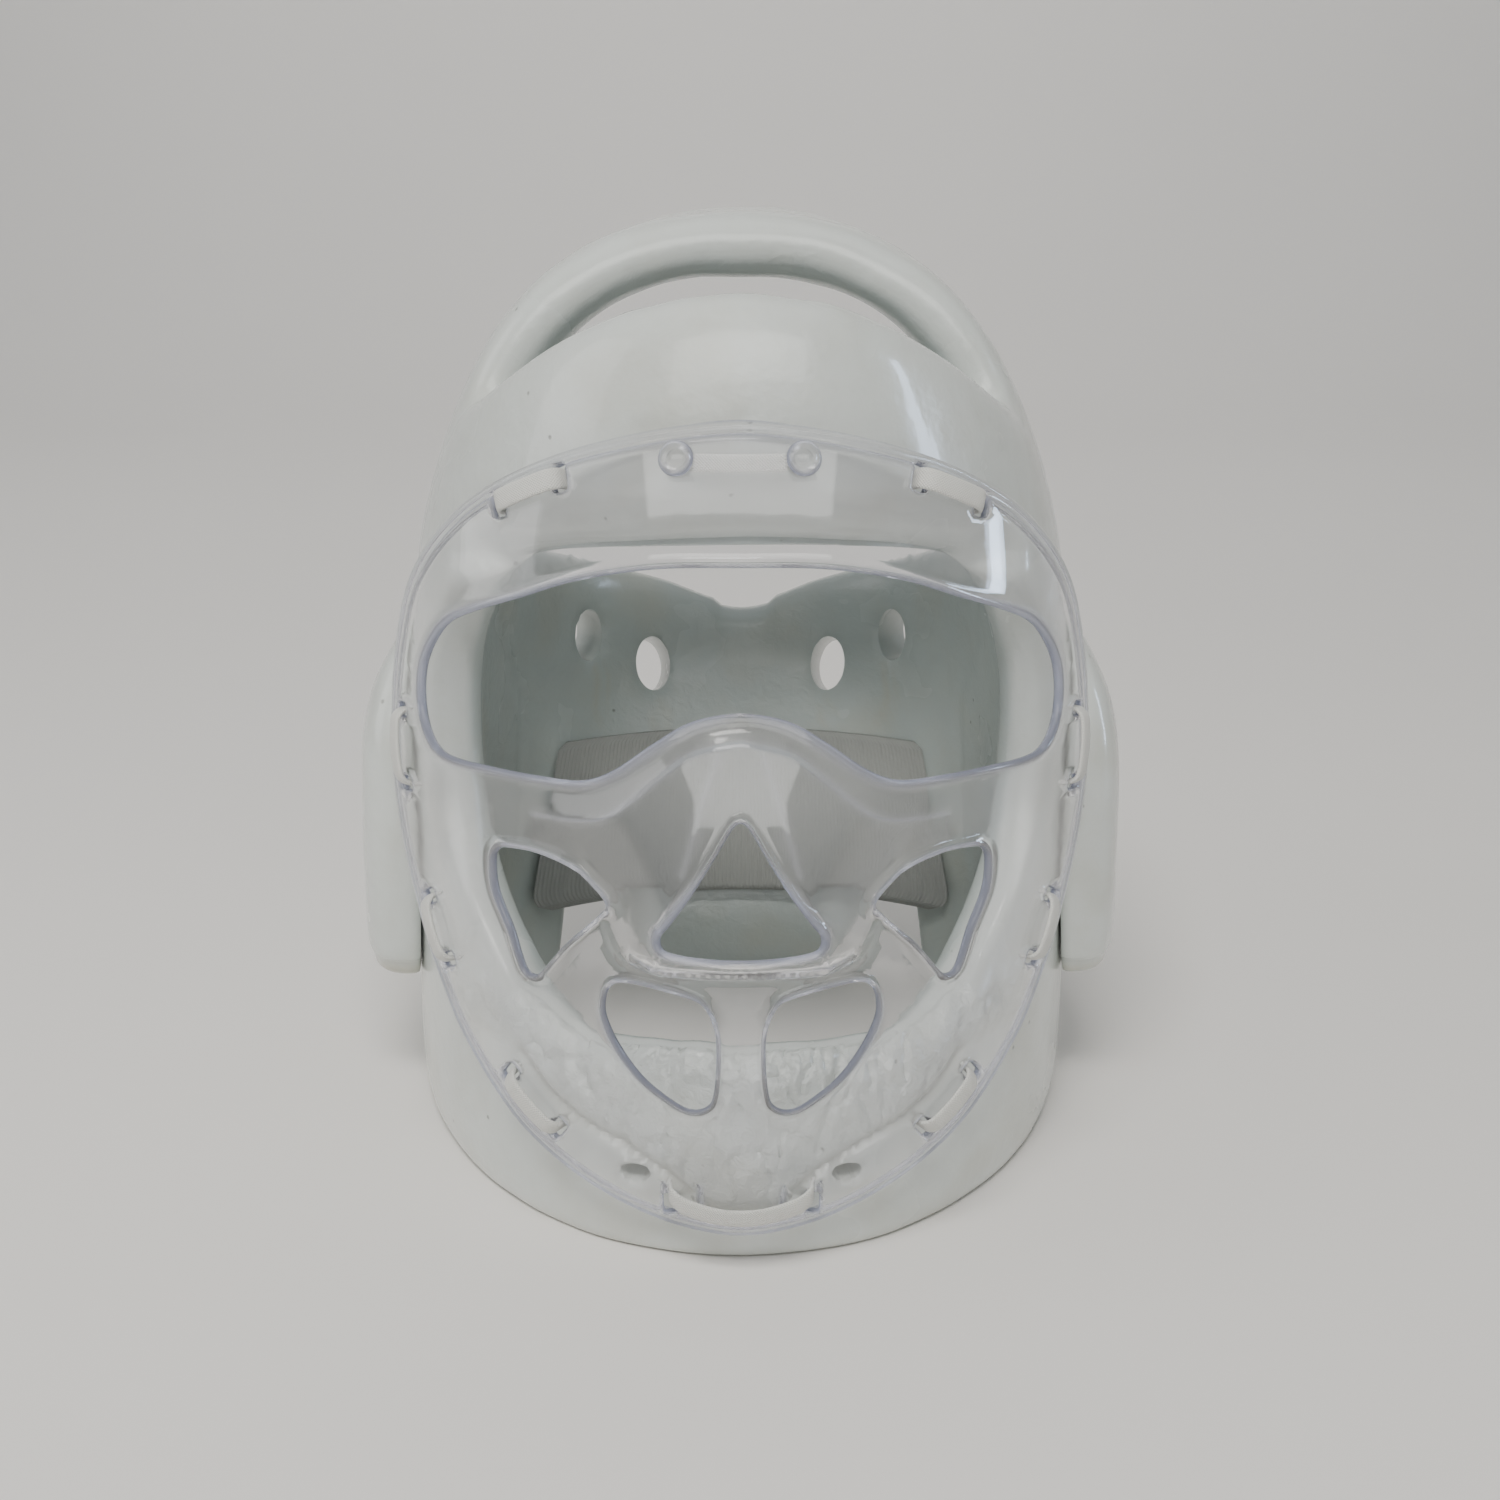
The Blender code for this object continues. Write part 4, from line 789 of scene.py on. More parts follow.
def cut_vents(obj, vents, foam):
    """Cuts every vent with an oval rod and takes the rods away again."""
    bm = bmesh.new()
    for centre, way, width, tall in vents:
        made = bmesh.ops.create_cone(bm, cap_ends=True, segments=48, radius1=0.5, radius2=0.5, depth=1.0)
        across, up = vent_axes(way)
        turn = Matrix((across, up, across.cross(up))).transposed().to_4x4()
        size = Matrix.Diagonal((width, tall, foam * 2.4, 1.0))
        bmesh.ops.transform(bm, matrix=Matrix.Translation(centre) @ turn @ size, verts=made["verts"])
    face_outwards(bm)
    rods = make_object("vent_rods", bm)
    cut = obj.modifiers.new("vents", "BOOLEAN")
    cut.operation = "DIFFERENCE"
    cut.solver = "EXACT"
    cut.object = rods
    bpy.context.view_layer.update()
    mesh = apply_modifiers(obj)
    bpy.data.objects.remove(rods)
    mesh.shade_smooth()
    mesh.set_sharp_from_angle(angle=math.radians(50))
    return mesh


def refine(mesh):
    """Finer faces at the chin and along the band's lower edge, where the skin has its folds and creases."""
    bm = bmesh.new()
    bm.from_mesh(mesh)
    chosen = []
    for face in bm.faces:
        _, y, z = face.calc_center_median()
        if y < -0.056 and (z < 0.070 or 0.172 < z < 0.212):
            chosen.append(face)
    edges = {edge for face in chosen for edge in face.edges}
    made = bmesh.ops.subdivide_edges(bm, edges=list(edges), cuts=2, use_grid_fill=True)["geom"]
    fresh = set(only(bmesh.types.BMVert, made))
    for _ in range(4):
        bmesh.ops.smooth_vert(bm, verts=list(fresh), factor=0.5,
                              use_axis_x=True, use_axis_y=True, use_axis_z=True)
    bm.to_mesh(mesh)
    bm.free()


def build_guard(sizes):
    obj = make_object("foam_guard", guard_cage(sizes.foam))
    thick = obj.modifiers.new("wall", "SOLIDIFY")
    thick.thickness = sizes.foam
    thick.offset = 0.0
    thick.use_even_offset = True
    soft = obj.modifiers.new("round", "SUBSURF")
    soft.levels = 3
    soft.render_levels = 3
    bpy.context.view_layer.update()
    vents = vent_list(sizes.foam)
    mesh = apply_modifiers(obj)
    refine(mesh)
    sculpt_guard(mesh, sizes.foam, vents)
    mesh = cut_vents(obj, vents, sizes.foam)
    mark_soil_and_shade(mesh, vents)
    return obj


def guard_surface():
    """The finished guard's surface, for the pieces that lie against it, in the frame they are modelled in."""
    bm = bmesh.new()
    bm.from_mesh(bpy.data.objects["foam_guard"].data)
    bmesh.ops.translate(bm, verts=bm.verts, vec=(0, -CENTRE_SHIFT, 0))
    tree = BVHTree.FromBMesh(bm)
    bm.free()
    return tree


# Ear cups


def build_ear(side, name, surface):
    """One ear cup, lofted from closed sections whose backs follow the guard's side, and rounded."""
    outer, inner = 30, 12
    table = rounded([(row["height"], row["length"], row["reach"]) for row in EAR_SECTIONS], 4, closed=False)
    rings = []
    for height, length, reach in table:
        z = EAR_BOTTOM + height * EAR_TALL
        half = EAR_HALF_LENGTH * length
        back = []
        for k in range(inner):
            y = EAR_CENTRE_Y + mix(half, -half, k / (inner - 1))
            hit = surface.ray_cast(Vector((side * 0.3, y, z)), Vector((-side, 0, 0)))[0]
            back.append(Vector((hit.x * side + CLEARANCE * 1.5, y, z)))
        ring = []
        for k in range(outer):
            turn = math.pi * (k + 0.5) / outer
            y = EAR_CENTRE_Y - half * 1.02 * blunt(math.cos(turn), 0.8)
            depth = abs(math.sin(turn)) ** 0.55
            base = mix(back[-1].x, back[0].x, k / (outer - 1))
            ring.append(Vector((mix(base, max(EAR_REACH * reach, base + 0.001), depth) * side, y, z)))
        ring += [Vector((p.x * side, p.y, p.z)) for p in back]
        rings.append(ring)
    bm = bmesh.new()
    made = loft(bm, rings)
    cap(bm, made[0])
    cap(bm, made[-1])
    face_outwards(bm)
    obj = make_object(name, bm)
    mesh = obj.data
    places, normals = read_places(mesh)
    outward = smooth((places[:, 0] * side - 0.090) / 0.006)
    places += normals * (outward * 0.00030 * cloud(places, 0.026, 8))[:, None]
    write_places(mesh, places)
    stains = 0.25 * smooth((cloud(places, 0.025, 9) - 0.1) / 0.5)
    # Random stains, and the cup darker towards its bottom.
    paint(mesh, "soil_and_shade", stains + 0.6 * smooth((0.048 - places[:, 2]) / 0.004))
    paint(mesh, "wrinkle", np.zeros(len(places)))
    soft = obj.modifiers.new("round", "SUBSURF")
    soft.levels = 1
    soft.render_levels = 1
    return obj


# Clear shield


profile_front = smooth_curve(SHIELD_PROFILE, "front")
profile_width = smooth_curve(SHIELD_PROFILE, "width")
dome_half = smooth_curve(NOSE_DOME, "half")
dome_out = smooth_curve(NOSE_DOME, "out")
dome_slope = smooth_curve(NOSE_DOME, "slope")
ridge_height = smooth_curve(RIDGE, "height", "side")
ridge_eye = smooth_curve(RIDGE, "eye", "side")


def shield_depth(x, z):
    """Depth of the shield's middle surface at front-view places: the bowl, the nose dome and the ridge."""
    x, z = np.asarray(x, float), np.asarray(z, float)
    height = (z - SHIELD_LOW) / SHIELD_TALL
    side = np.abs(x) / SHIELD_HALF_WIDTH
    width = SHIELD_PLAN_WIDTH * profile_width(height)
    bowl = SHIELD_FRONT * profile_front(height) * np.sqrt(np.maximum(1.0 - (x / width) ** 2, 0.02))
    out = np.maximum(dome_out(height), 0.0)
    dome = out * (1.0 - ramp((np.abs(x) - dome_half(height) * SHIELD_HALF_WIDTH) / dome_slope(height), 0.035))
    below = (ridge_eye(side) - height) / (ridge_eye(side) - ridge_height(side))
    step = RIDGE_STEP * ramp(below, 0.05) * smooth((height - 0.12) / 0.30)
    step = step * (1.0 - smooth((side - 0.40) / 0.16))
    return -(bowl + dome + step)


def shield_places(x, z, off):
    """Places on the shield's middle surface, moved out along its normal, for arrays."""
    d = 0.0008
    x, z = np.asarray(x, float), np.asarray(z, float)
    slope_x = (shield_depth(x + d, z) - shield_depth(x - d, z)) / (2 * d)
    slope_z = (shield_depth(x, z + d) - shield_depth(x, z - d)) / (2 * d)
    normal = np.stack([slope_x, -np.ones_like(slope_x), slope_z], axis=-1)
    normal /= np.linalg.norm(normal, axis=-1, keepdims=True)
    return np.stack([x, shield_depth(x, z), z], axis=-1) + normal * np.asarray(off)[..., None]


def shield_point(x, z, off=0.0):
    return Vector(shield_places(np.array([x]), np.array([z]), np.array([off]))[0])


def front_place(side, height):
    """A place of the shield's front view in metres, from its shares of the half width and the height."""
    return Vector((side * SHIELD_HALF_WIDTH, SHIELD_LOW + height * SHIELD_TALL))


def front_line(outline, mirrored, step):
    """An outline of the shield's front view in metres: a closed loop, or half of one to be mirrored."""
    points = [(s * SHIELD_HALF_WIDTH, SHIELD_LOW + h * SHIELD_TALL) for s, h in outline]
    if mirrored:
        points = points + [(-x, z) for x, z in reversed(points[1:-1])]
    return even(rounded(points, 8), step)


def slot_line(first, second, which):
    """A rim slot's outline, turned to the loop that runs through it, with rounded ends."""
    ends = [front_place(*first), front_place(*second)]
    centre = ends[which]
    along = (shield_point(*ends[1]) - shield_point(*ends[0])).normalized()
    out = (shield_point(*centre, 0.001) - shield_point(*centre)).normalized()
    across = out.cross(along).normalized()
    points = []
    for k in range(20):
        turn = 2 * math.pi * (k + 0.5) / 20
        a = blunt(math.cos(turn), 0.4) * SLOT_SHORT / 2
        b = blunt(math.sin(turn), 0.4) * SLOT_LONG / 2
        move = along * a + across * b
        points.append((centre.x + move.x, centre.y + move.z))
    return np.array(points)


def shield_holes():
    """Every opening of the shield: the large ones, then the slots and pin holes of the rim."""
    large = [front_line(EYE_OUTLINE, True, 0.0010), front_line(NOSE_VENT, True, 0.0009)]
    for vent in (CHEEK_VENT, MOUTH_VENT):
        line = front_line(vent, False, 0.0010)
        large += [line, line[::-1] * (-1.0, 1.0)]
    small = []
    for loop in LOOPS + (CHIN_LOOP,):
        for which in (0, 1) if loop is not CHIN_LOOP else (0,):
            line = slot_line(loop["first"], loop["second"], which)
            small += [line, line[::-1] * (-1.0, 1.0)]
    turn = 2 * np.pi * np.arange(20) / 20
    for side in (1.0, -1.0):
        centre = np.array((side * BUTTON_SIDE * SHIELD_HALF_WIDTH, SHIELD_LOW + BUTTON_HEIGHT * SHIELD_TALL))
        small.append(centre + (PIN_RADIUS + 2 * CLEARANCE) * np.stack([np.cos(turn), np.sin(turn)], axis=1))
    return large, small


def shield_creases():
    """Lines of the front view along which the shield turns sharply: ridge, facets, nose box and fins."""
    at = np.linspace(-0.52, 0.52, 90)
    ridge = np.stack([at, ridge_height(np.abs(at))], axis=1)
    high = np.linspace(*FACET_HEIGHTS, 26)
    facet = np.stack([dome_half(high), high], axis=1)
    lines = [ridge, facet, facet * (-1.0, 1.0)]
    for height in NOSE_BOX_EDGES:
        at = np.linspace(-0.205, 0.205, 36)
        lines.append(np.stack([at, np.full(36, height)], axis=1))
    for side in CHIN_FINS:
        lines.append(np.stack([np.full(8, side), np.linspace(*FIN_HEIGHTS, 8)], axis=1))
    return [line * (SHIELD_HALF_WIDTH, SHIELD_TALL) + (0.0, SHIELD_LOW) for line in lines]


def inset(line, amount):
    """A closed line moved towards its inside, or outwards where the amount is below zero."""
    way = np.roll(line, -1, axis=0) - np.roll(line, 1, axis=0)
    way /= np.linalg.norm(way, axis=1, keepdims=True)
    side = np.stack([-way[:, 1], way[:, 0]], axis=1)
    area = 0.5 * np.sum(line[:, 0] * np.roll(line[:, 1], -1) - np.roll(line[:, 0], -1) * line[:, 1])
    return line + side * amount * (1.0 if area > 0 else -1.0)


def shield_offset(front, outer, outline, thick):
    """How far the skin lies off the middle surface: the flange's step, the lips and the rounded edges."""
    rim, large, small, fins = outline
    to_rim = away(front, rim)
    to_large = nearest(front, large)
    to_small = nearest(front, small)
    to_fin = nearest(front, fins, closed=False)
    to_edge = np.minimum(np.minimum(to_rim, to_large), to_small)
    inwards = 1.0 - np.clip(to_edge / LIP, 0.0, 1.0)
    wall = thick / 2 * np.sqrt(np.clip(1.0 - inwards ** 2, 0.05, 1.0))
    middle = -FLANGE_STEP * (1.0 - ramp((to_rim - FLANGE * 0.85) / 0.0012, 0.15))
    middle += BEAD_HIGH * bell(to_rim - 0.0012, 0.0008)
    middle += LIP_HIGH * bell(to_large, 0.0016)
    middle += FIN_HIGH * bell(to_fin, 0.0005)
    return middle + np.where(outer, wall, -wall), to_edge


def shield_normals(front, outer, outline, thick):
    """The skin's true normals at front-view places, from small steps across and up."""
    step = 0.00012
    ways = []
    for way in ((step, 0.0), (0.0, step)):
        ends = []
        for side in (-1.0, 1.0):
            moved = front + np.array(way) * side
            off, _ = shield_offset(moved, outer, outline, thick)
            ends.append(shield_places(moved[:, 0], moved[:, 1], off))
        ways.append(ends[1] - ends[0])
    normals = np.cross(*ways) * np.where(outer, 1.0, -1.0)[:, None]
    normals /= np.linalg.norm(normals, axis=1, keepdims=True)
    return normals


def edge_width(front, line):
    """How wide an opening's cut edge shows from the front: widest where it faces the middle of the guard."""
    centre = line.mean(axis=0)
    way = front - centre
    way = way / np.maximum(np.linalg.norm(way, axis=1, keepdims=True), 1e-6)
    side = np.sign(centre[0]) if abs(centre[0]) > 0.01 else np.sign(way[:, 0])
    return 0.00045 + 0.0012 * np.clip(way[:, 0] * side - 0.25 * way[:, 1], 0.0, 1.0) ** 2


def grid_points():
    """A staggered grid of points over the shield's front view."""
    across, up = np.meshgrid(np.arange(-46, 47) * SHIELD_MESH, np.arange(0, 116) * SHIELD_MESH * 0.87)
    across = across + SHIELD_MESH / 2 * (np.arange(116) % 2)[:, None]
    return np.stack([across.ravel(), up.ravel() + SHIELD_LOW], axis=1)


def thinned(points, gap):
    """The points without those that lie within the gap of an earlier one."""
    tree = kdtree.KDTree(len(points))
    for i, (x, z) in enumerate(points):
        tree.insert((x, z, 0.0), i)
    tree.balance()
    kept = np.ones(len(points), bool)
    for i, (x, z) in enumerate(points):
        if kept[i]:
            for _, j, _ in tree.find_range((x, z, 0.0), gap):
                if j > i:
                    kept[j] = False
    return points[kept]


def inner_points(rim, large, small, creases):
    """Points of the front view between its outlines: rows beside them and the creases, and a grid."""
    rows = [inset(rim, d) for d in RIM_ROWS]
    rows += [inset(line, -d) for line in large for d in HOLE_ROWS]
    rows += [inset(line, -d) for line in small for d in SLOT_ROWS]
    for line in creases:
        way = np.gradient(line, axis=0)
        way = np.stack([-way[:, 1], way[:, 0]], axis=1) / np.linalg.norm(way, axis=1, keepdims=True)
        rows += [line, line + way * CREASE_ROW, line - way * CREASE_ROW]
    grid = grid_points()
    points = np.vstack(rows + [grid])
    beside = len(points) - len(grid)
    near_rim = np.concatenate([np.full(beside, 0.0003), np.full(len(grid), 0.0074)])
    near_hole = np.concatenate([np.full(beside, 0.0003), np.full(len(grid), 0.0045)])
    keep = within(points, rim) & (away(points, rim) > near_rim)
    for line in large:
        keep &= ~within(points, line) & (away(points, line) > near_hole)
    for line in small:
        keep &= ~within(points, line) & (away(points, line) > np.minimum(near_hole, 0.0017))
    return thinned(points[keep], 0.00036)


def front_mesh(rim, large, small, creases):
    """The shield's front view as flat faces between the rim and the openings."""
    points = [rim] + large + small
    edges, start = [], 0
    for line in points:
        edges += [(start + i, start + (i + 1) % len(line)) for i in range(len(line))]
        start += len(line)
    points.append(inner_points(rim, large, small, creases))
    flat = np.vstack(points)
    verts, _, faces, _, _, _ = delaunay_2d_cdt([Vector(p) for p in flat], edges, [], 0, 1e-7)
    flat = np.array([tuple(v) for v in verts])
    centres = flat[np.array(faces)].mean(axis=1)
    keep = within(centres, rim)
    for line in large + small:
        keep &= ~within(centres, line)
    bm = bmesh.new()
    corners = [bm.verts.new((x, 0.0, z)) for x, z in flat]
    for face, wanted in zip(faces, keep):
        if wanted:
            bm.faces.new([corners[i] for i in face])
    bmesh.ops.delete(bm, geom=[v for v in bm.verts if not v.link_faces], context="VERTS")
    bmesh.ops.join_triangles(bm, faces=bm.faces[:], angle_face_threshold=0.5, angle_shape_threshold=0.9)
    return bm


def painted_edge_light(front, to_edge, rim, large, creases):
    """How much painted edge light each point of the shield shows: grey-blue lines of painted shade and
    highlight along the cut edges, the flange's step, a line beside the rim, the ridge, the facets and the
    fins.
    """
    ridge, *facets = creases[:-4]
    to_rim = away(front, rim)
    edge = bell(to_edge, 0.0005)
    for line in large:
        edge = np.maximum(edge, bell(away(front, line), edge_width(front, line)))
    lines = ((np.abs(to_rim - FLANGE), 0.0005, 0.60),
             (np.abs(to_rim - 0.0017), 0.0004, 0.25),
             (away(front, ridge, closed=False), 0.0005, 0.45),
             (nearest(front, facets, closed=False), 0.0006, 0.25),
             (nearest(front, creases[-4:], closed=False), 0.0005, 0.60))
    for there, wide, strong in lines:
        edge = np.maximum(edge, strong * bell(there, wide))
    return edge


def build_shield(sizes):
    """The shield: its flat front view extruded to a wall, given its depth, and smoothly shaded."""
    rim = front_line(RIM_OUTLINE, True, 0.0011)
    large, small = shield_holes()
    creases = shield_creases()
    bm = front_mesh(rim, large, small, creases)
    made = bmesh.ops.extrude_face_region(bm, geom=bm.faces[:], use_keep_orig=True)["geom"]
    bmesh.ops.translate(bm, verts=only(bmesh.types.BMVert, made), vec=(0, 1, 0))
    places = np.array([tuple(v.co) for v in bm.verts])
    front = places[:, [0, 2]]
    outer = places[:, 1] < 0.5
    outline = (rim, large, small, creases[-4:])
    off, to_edge = shield_offset(front, outer, outline, sizes.wall)
    solid = shield_places(front[:, 0], front[:, 1], off)
    for v, place in zip(bm.verts, solid):
        v.co = place
    face_outwards(bm)
    obj = make_object("clear_shield", bm)
    # A normal left at zero is worked out by the mesh itself
    normals = np.zeros((len(front), 3))
    near = (to_edge > 0.0003) & (to_edge < 0.0065)
    normals[near] = shield_normals(front[near], outer[near], outline, sizes.wall)
    obj.data.normals_split_custom_set_from_vertices(normals)
    # Painted shade and highlight lines along the shield's edges and creases, for its material.
    paint(obj.data, "edge", painted_edge_light(front, to_edge, rim, large, creases))
    return obj


# Elastics and fixings


def section(width, thick, corner=0.45, count=16):
    """A flat tape's cross-section with soft edges: across and up."""
    turn = [2 * math.pi * (k + 0.5) / count for k in range(count)]
    return [(blunt(math.cos(t), corner) * width / 2, blunt(math.sin(t), 0.8) * thick / 2) for t in turn]


def tape(name, path, width_way, width, thick):
    """A woven tape swept along a path, with its run and width kept for the weave."""
    bm = bmesh.new()
    run_layer = bm.verts.layers.float.new("run")
    across_layer = bm.verts.layers.float.new("across")
    path = [Vector(p) for p in rounded([tuple(p) for p in path], 5, closed=False)]
    shape = section(width, thick)
    rings, gone, runs = [], 0.0, []
    for i, here in enumerate(path):
        before, after = path[max(i - 1, 0)], path[min(i + 1, len(path) - 1)]
        gone += (here - before).length
        runs.append(gone)
        along = (after - before).normalized()
        across = (width_way - along * width_way.dot(along)).normalized()
        up = along.cross(across).normalized()
        rings.append([here + across * a + up * b for a, b in shape])
    made = loft(bm, rings)
    for ring, run in zip(made, runs):
        for v, (a, _) in zip(ring, shape):
            v[run_layer] = run
            v[across_layer] = a + width / 2
    cap(bm, made[0])
    cap(bm, made[-1])
    face_outwards(bm)
    return make_object(name, bm)


def loop_path(first, second, side, sizes, sag=0.0):
    """Path of a loop: behind the shield, out of one slot, over the front and back in at the other."""
    ends = [front_place(s * side, h) for s, h in (first, second)]
    proud = sizes.wall / 2 + sizes.tape_thick / 2 + CLEARANCE
    path = []
    for at, share in LOOP_RUN:
        spot = ends[0].lerp(ends[1], at)
        hang = sag * (0.35 - (2 * min(max(at, 0.0), 1.0) - 1) ** 2)
        path.append(shield_point(spot.x, spot.y - hang, proud * share))
    here = ends[0].lerp(ends[1], 0.5)
    out = shield_point(*here, 0.001) - shield_point(*here)
    return path, out.cross(shield_point(*ends[1]) - shield_point(*ends[0])).normalized()


def build_elastics(sizes):
    made = []
    for loop in LOOPS:
        for side, label in ((1.0, "right"), (-1.0, "left")):
            path, across = loop_path(loop["first"], loop["second"], side, sizes)
            node = f"{loop['name']}_{label}"
            made.append((tape(f"woven_{node}", path, across, sizes.tape, sizes.tape_thick), node))
    path, across = loop_path(CHIN_LOOP["first"], CHIN_LOOP["second"], 1.0, sizes, CHIN_SAG)
    made.append((tape("woven_elastic_chin", path, across, sizes.tape, sizes.tape_thick), "elastic_chin"))
    behind = -(sizes.wall / 2 + sizes.tape_thick / 2 + CLEARANCE) - 0.0009
    z = SHIELD_LOW + BUTTON_HEIGHT * SHIELD_TALL
    reach = BUTTON_SIDE * SHIELD_HALF_WIDTH - PIN_RADIUS - 2 * CLEARANCE
    path = [shield_point(reach * k / 3, z, behind) for k in range(-3, 4)]
    top = tape("woven_elastic_top", path, Vector((0, 0, 1)), sizes.tape * 0.8, sizes.tape_thick)
    made.append((top, "elastic_top"))
    return made


def build_button(side, name, sizes):
    """A clear domed fixing: a spun profile on a pin through the rim."""
    wall = sizes.wall / 2
    pin = PIN_RADIUS / BUTTON_RADIUS
    profile = [(r, BUTTON_DOME * h) for r, h in BUTTON_PROFILE]
    profile += [(pin, 0.0), (pin, -wall * 1.9), (0.0, -wall * 1.9)]
    bm = bmesh.new()
    line = [bm.verts.new((r * BUTTON_RADIUS, 0.0, h + wall + CLEARANCE)) for r, h in profile]
    edges = [bm.edges.new((a, b)) for a, b in zip(line, line[1:])]
    bmesh.ops.spin(bm, geom=line + edges, cent=(0, 0, 0), axis=(0, 0, 1), angle=2 * math.pi, steps=32,
                   use_merge=True, use_duplicate=False)
    bmesh.ops.remove_doubles(bm, verts=bm.verts, dist=1e-6)
    x, z = side * BUTTON_SIDE * SHIELD_HALF_WIDTH, SHIELD_LOW + BUTTON_HEIGHT * SHIELD_TALL
    base = shield_point(x, z)
    out = (shield_point(x, z, 0.001) - base).normalized()
    across = out.cross(Vector((0, 0, 1))).normalized()
    turn = Matrix((across, out.cross(across), out)).transposed().to_4x4()
    bmesh.ops.transform(bm, matrix=Matrix.Translation(base) @ turn, verts=bm.verts)
    face_outwards(bm)
    obj = make_object(name, bm)
    obj.data.set_sharp_from_angle(angle=math.radians(60))
    places, _ = read_places(obj.data)
    from_axis = np.linalg.norm(np.cross(places - np.array(base), np.array(out)), axis=1) / BUTTON_RADIUS
    # Painted shade: the fixing's rim takes the edge tone, standing in for the dark crescent that refraction
    # makes there.
    paint(obj.data, "edge", bell(1.0 - from_axis, 0.16))
    return obj


def build_strap(sizes, surface):
    """The broad ribbed elastic: a grid bowed to the nape, its corners rounded, and given its thickness."""
    ribs = round(2 * STRAP_LOW_HALF / sizes.rib)
    up = 26
    bm = bmesh.new()
    bmesh.ops.create_grid(bm, x_segments=ribs * 4, y_segments=up, size=0.5)
    run_layer = bm.verts.layers.float.new("run")
    across_layer = bm.verts.layers.float.new("across")
    middles, bend = [], 0.0
    for r in range(up + 1):
        z = mix(STRAP_LOW, STRAP_TOP, r / up)
        hits = [(x, surface.ray_cast(Vector((x, 0.0, z)), Vector((0, 1, 0)))[0])
                for x in np.linspace(-STRAP_LOW_HALF, STRAP_LOW_HALF, 24)]
        hits = [(x, hit.y) for x, hit in hits if hit]
        middle = min(y for x, y in hits if abs(x) < 0.03)
        outer = [(x, y) for x, y in hits if 0.035 < abs(x) < 0.058]
        bend = max([bend] + [(middle - y) / (x / STRAP_LOW_HALF) ** 2 for x, y in outer])
        middles.append(middle)
    for v in bm.verts:
        side, share = v.co.x * 2, v.co.y + 0.5
        z = mix(STRAP_LOW, STRAP_TOP, share)
        half = mix(STRAP_LOW_HALF, STRAP_TOP_HALF, share)
        corner, near = (0.007, z - STRAP_LOW) if share < 0.5 else (0.002, STRAP_TOP - z)
        if near < corner:
            half -= corner - math.sqrt(max(corner ** 2 - (corner - near) ** 2, 0.0))
        x = side * half
        y = float(np.interp(share * up, range(up + 1), middles)) - bend * (x / STRAP_LOW_HALF) ** 2
        v[run_layer] = side * 0.5 + 0.5
        v[across_layer] = z - STRAP_LOW
        v.co = (x, y - CLEARANCE * 2.5, z)
    made = bmesh.ops.extrude_face_region(bm, geom=bm.faces[:], use_keep_orig=True)["geom"]
    tall = STRAP_TOP - STRAP_LOW
    for v in only(bmesh.types.BMVert, made):
        wave = 0.5 + 0.5 * math.cos(2 * math.pi * ribs * v[run_layer])
        hem = float(smooth(1.0 - min(v[across_layer], tall - v[across_layer]) / 0.0016))
        v.co.y -= sizes.strap_thick * (0.80 + 0.20 * max(wave * (1.0 - hem), 0.6 * hem))
    face_outwards(bm)
    return make_object("ribbed_strap", bm)


# Materials


def add_node(mat, kind, values=None, links=None, **options):
    """Adds a node with its options and socket values, and links other nodes' outputs into it."""
    node = mat.node_tree.nodes.new("ShaderNode" + kind)
    for name, value in options.items():
        setattr(node, name, value)
    for socket, value in (values or {}).items():
        node.inputs[socket].default_value = value
    for socket, source in (links or {}).items():
        mat.node_tree.links.new(source, node.inputs[socket])
    return node


def new_material(name):
    mat = bpy.data.materials.new(name)
    mat.use_nodes = True
    return mat, mat.node_tree.nodes["Principled BSDF"]


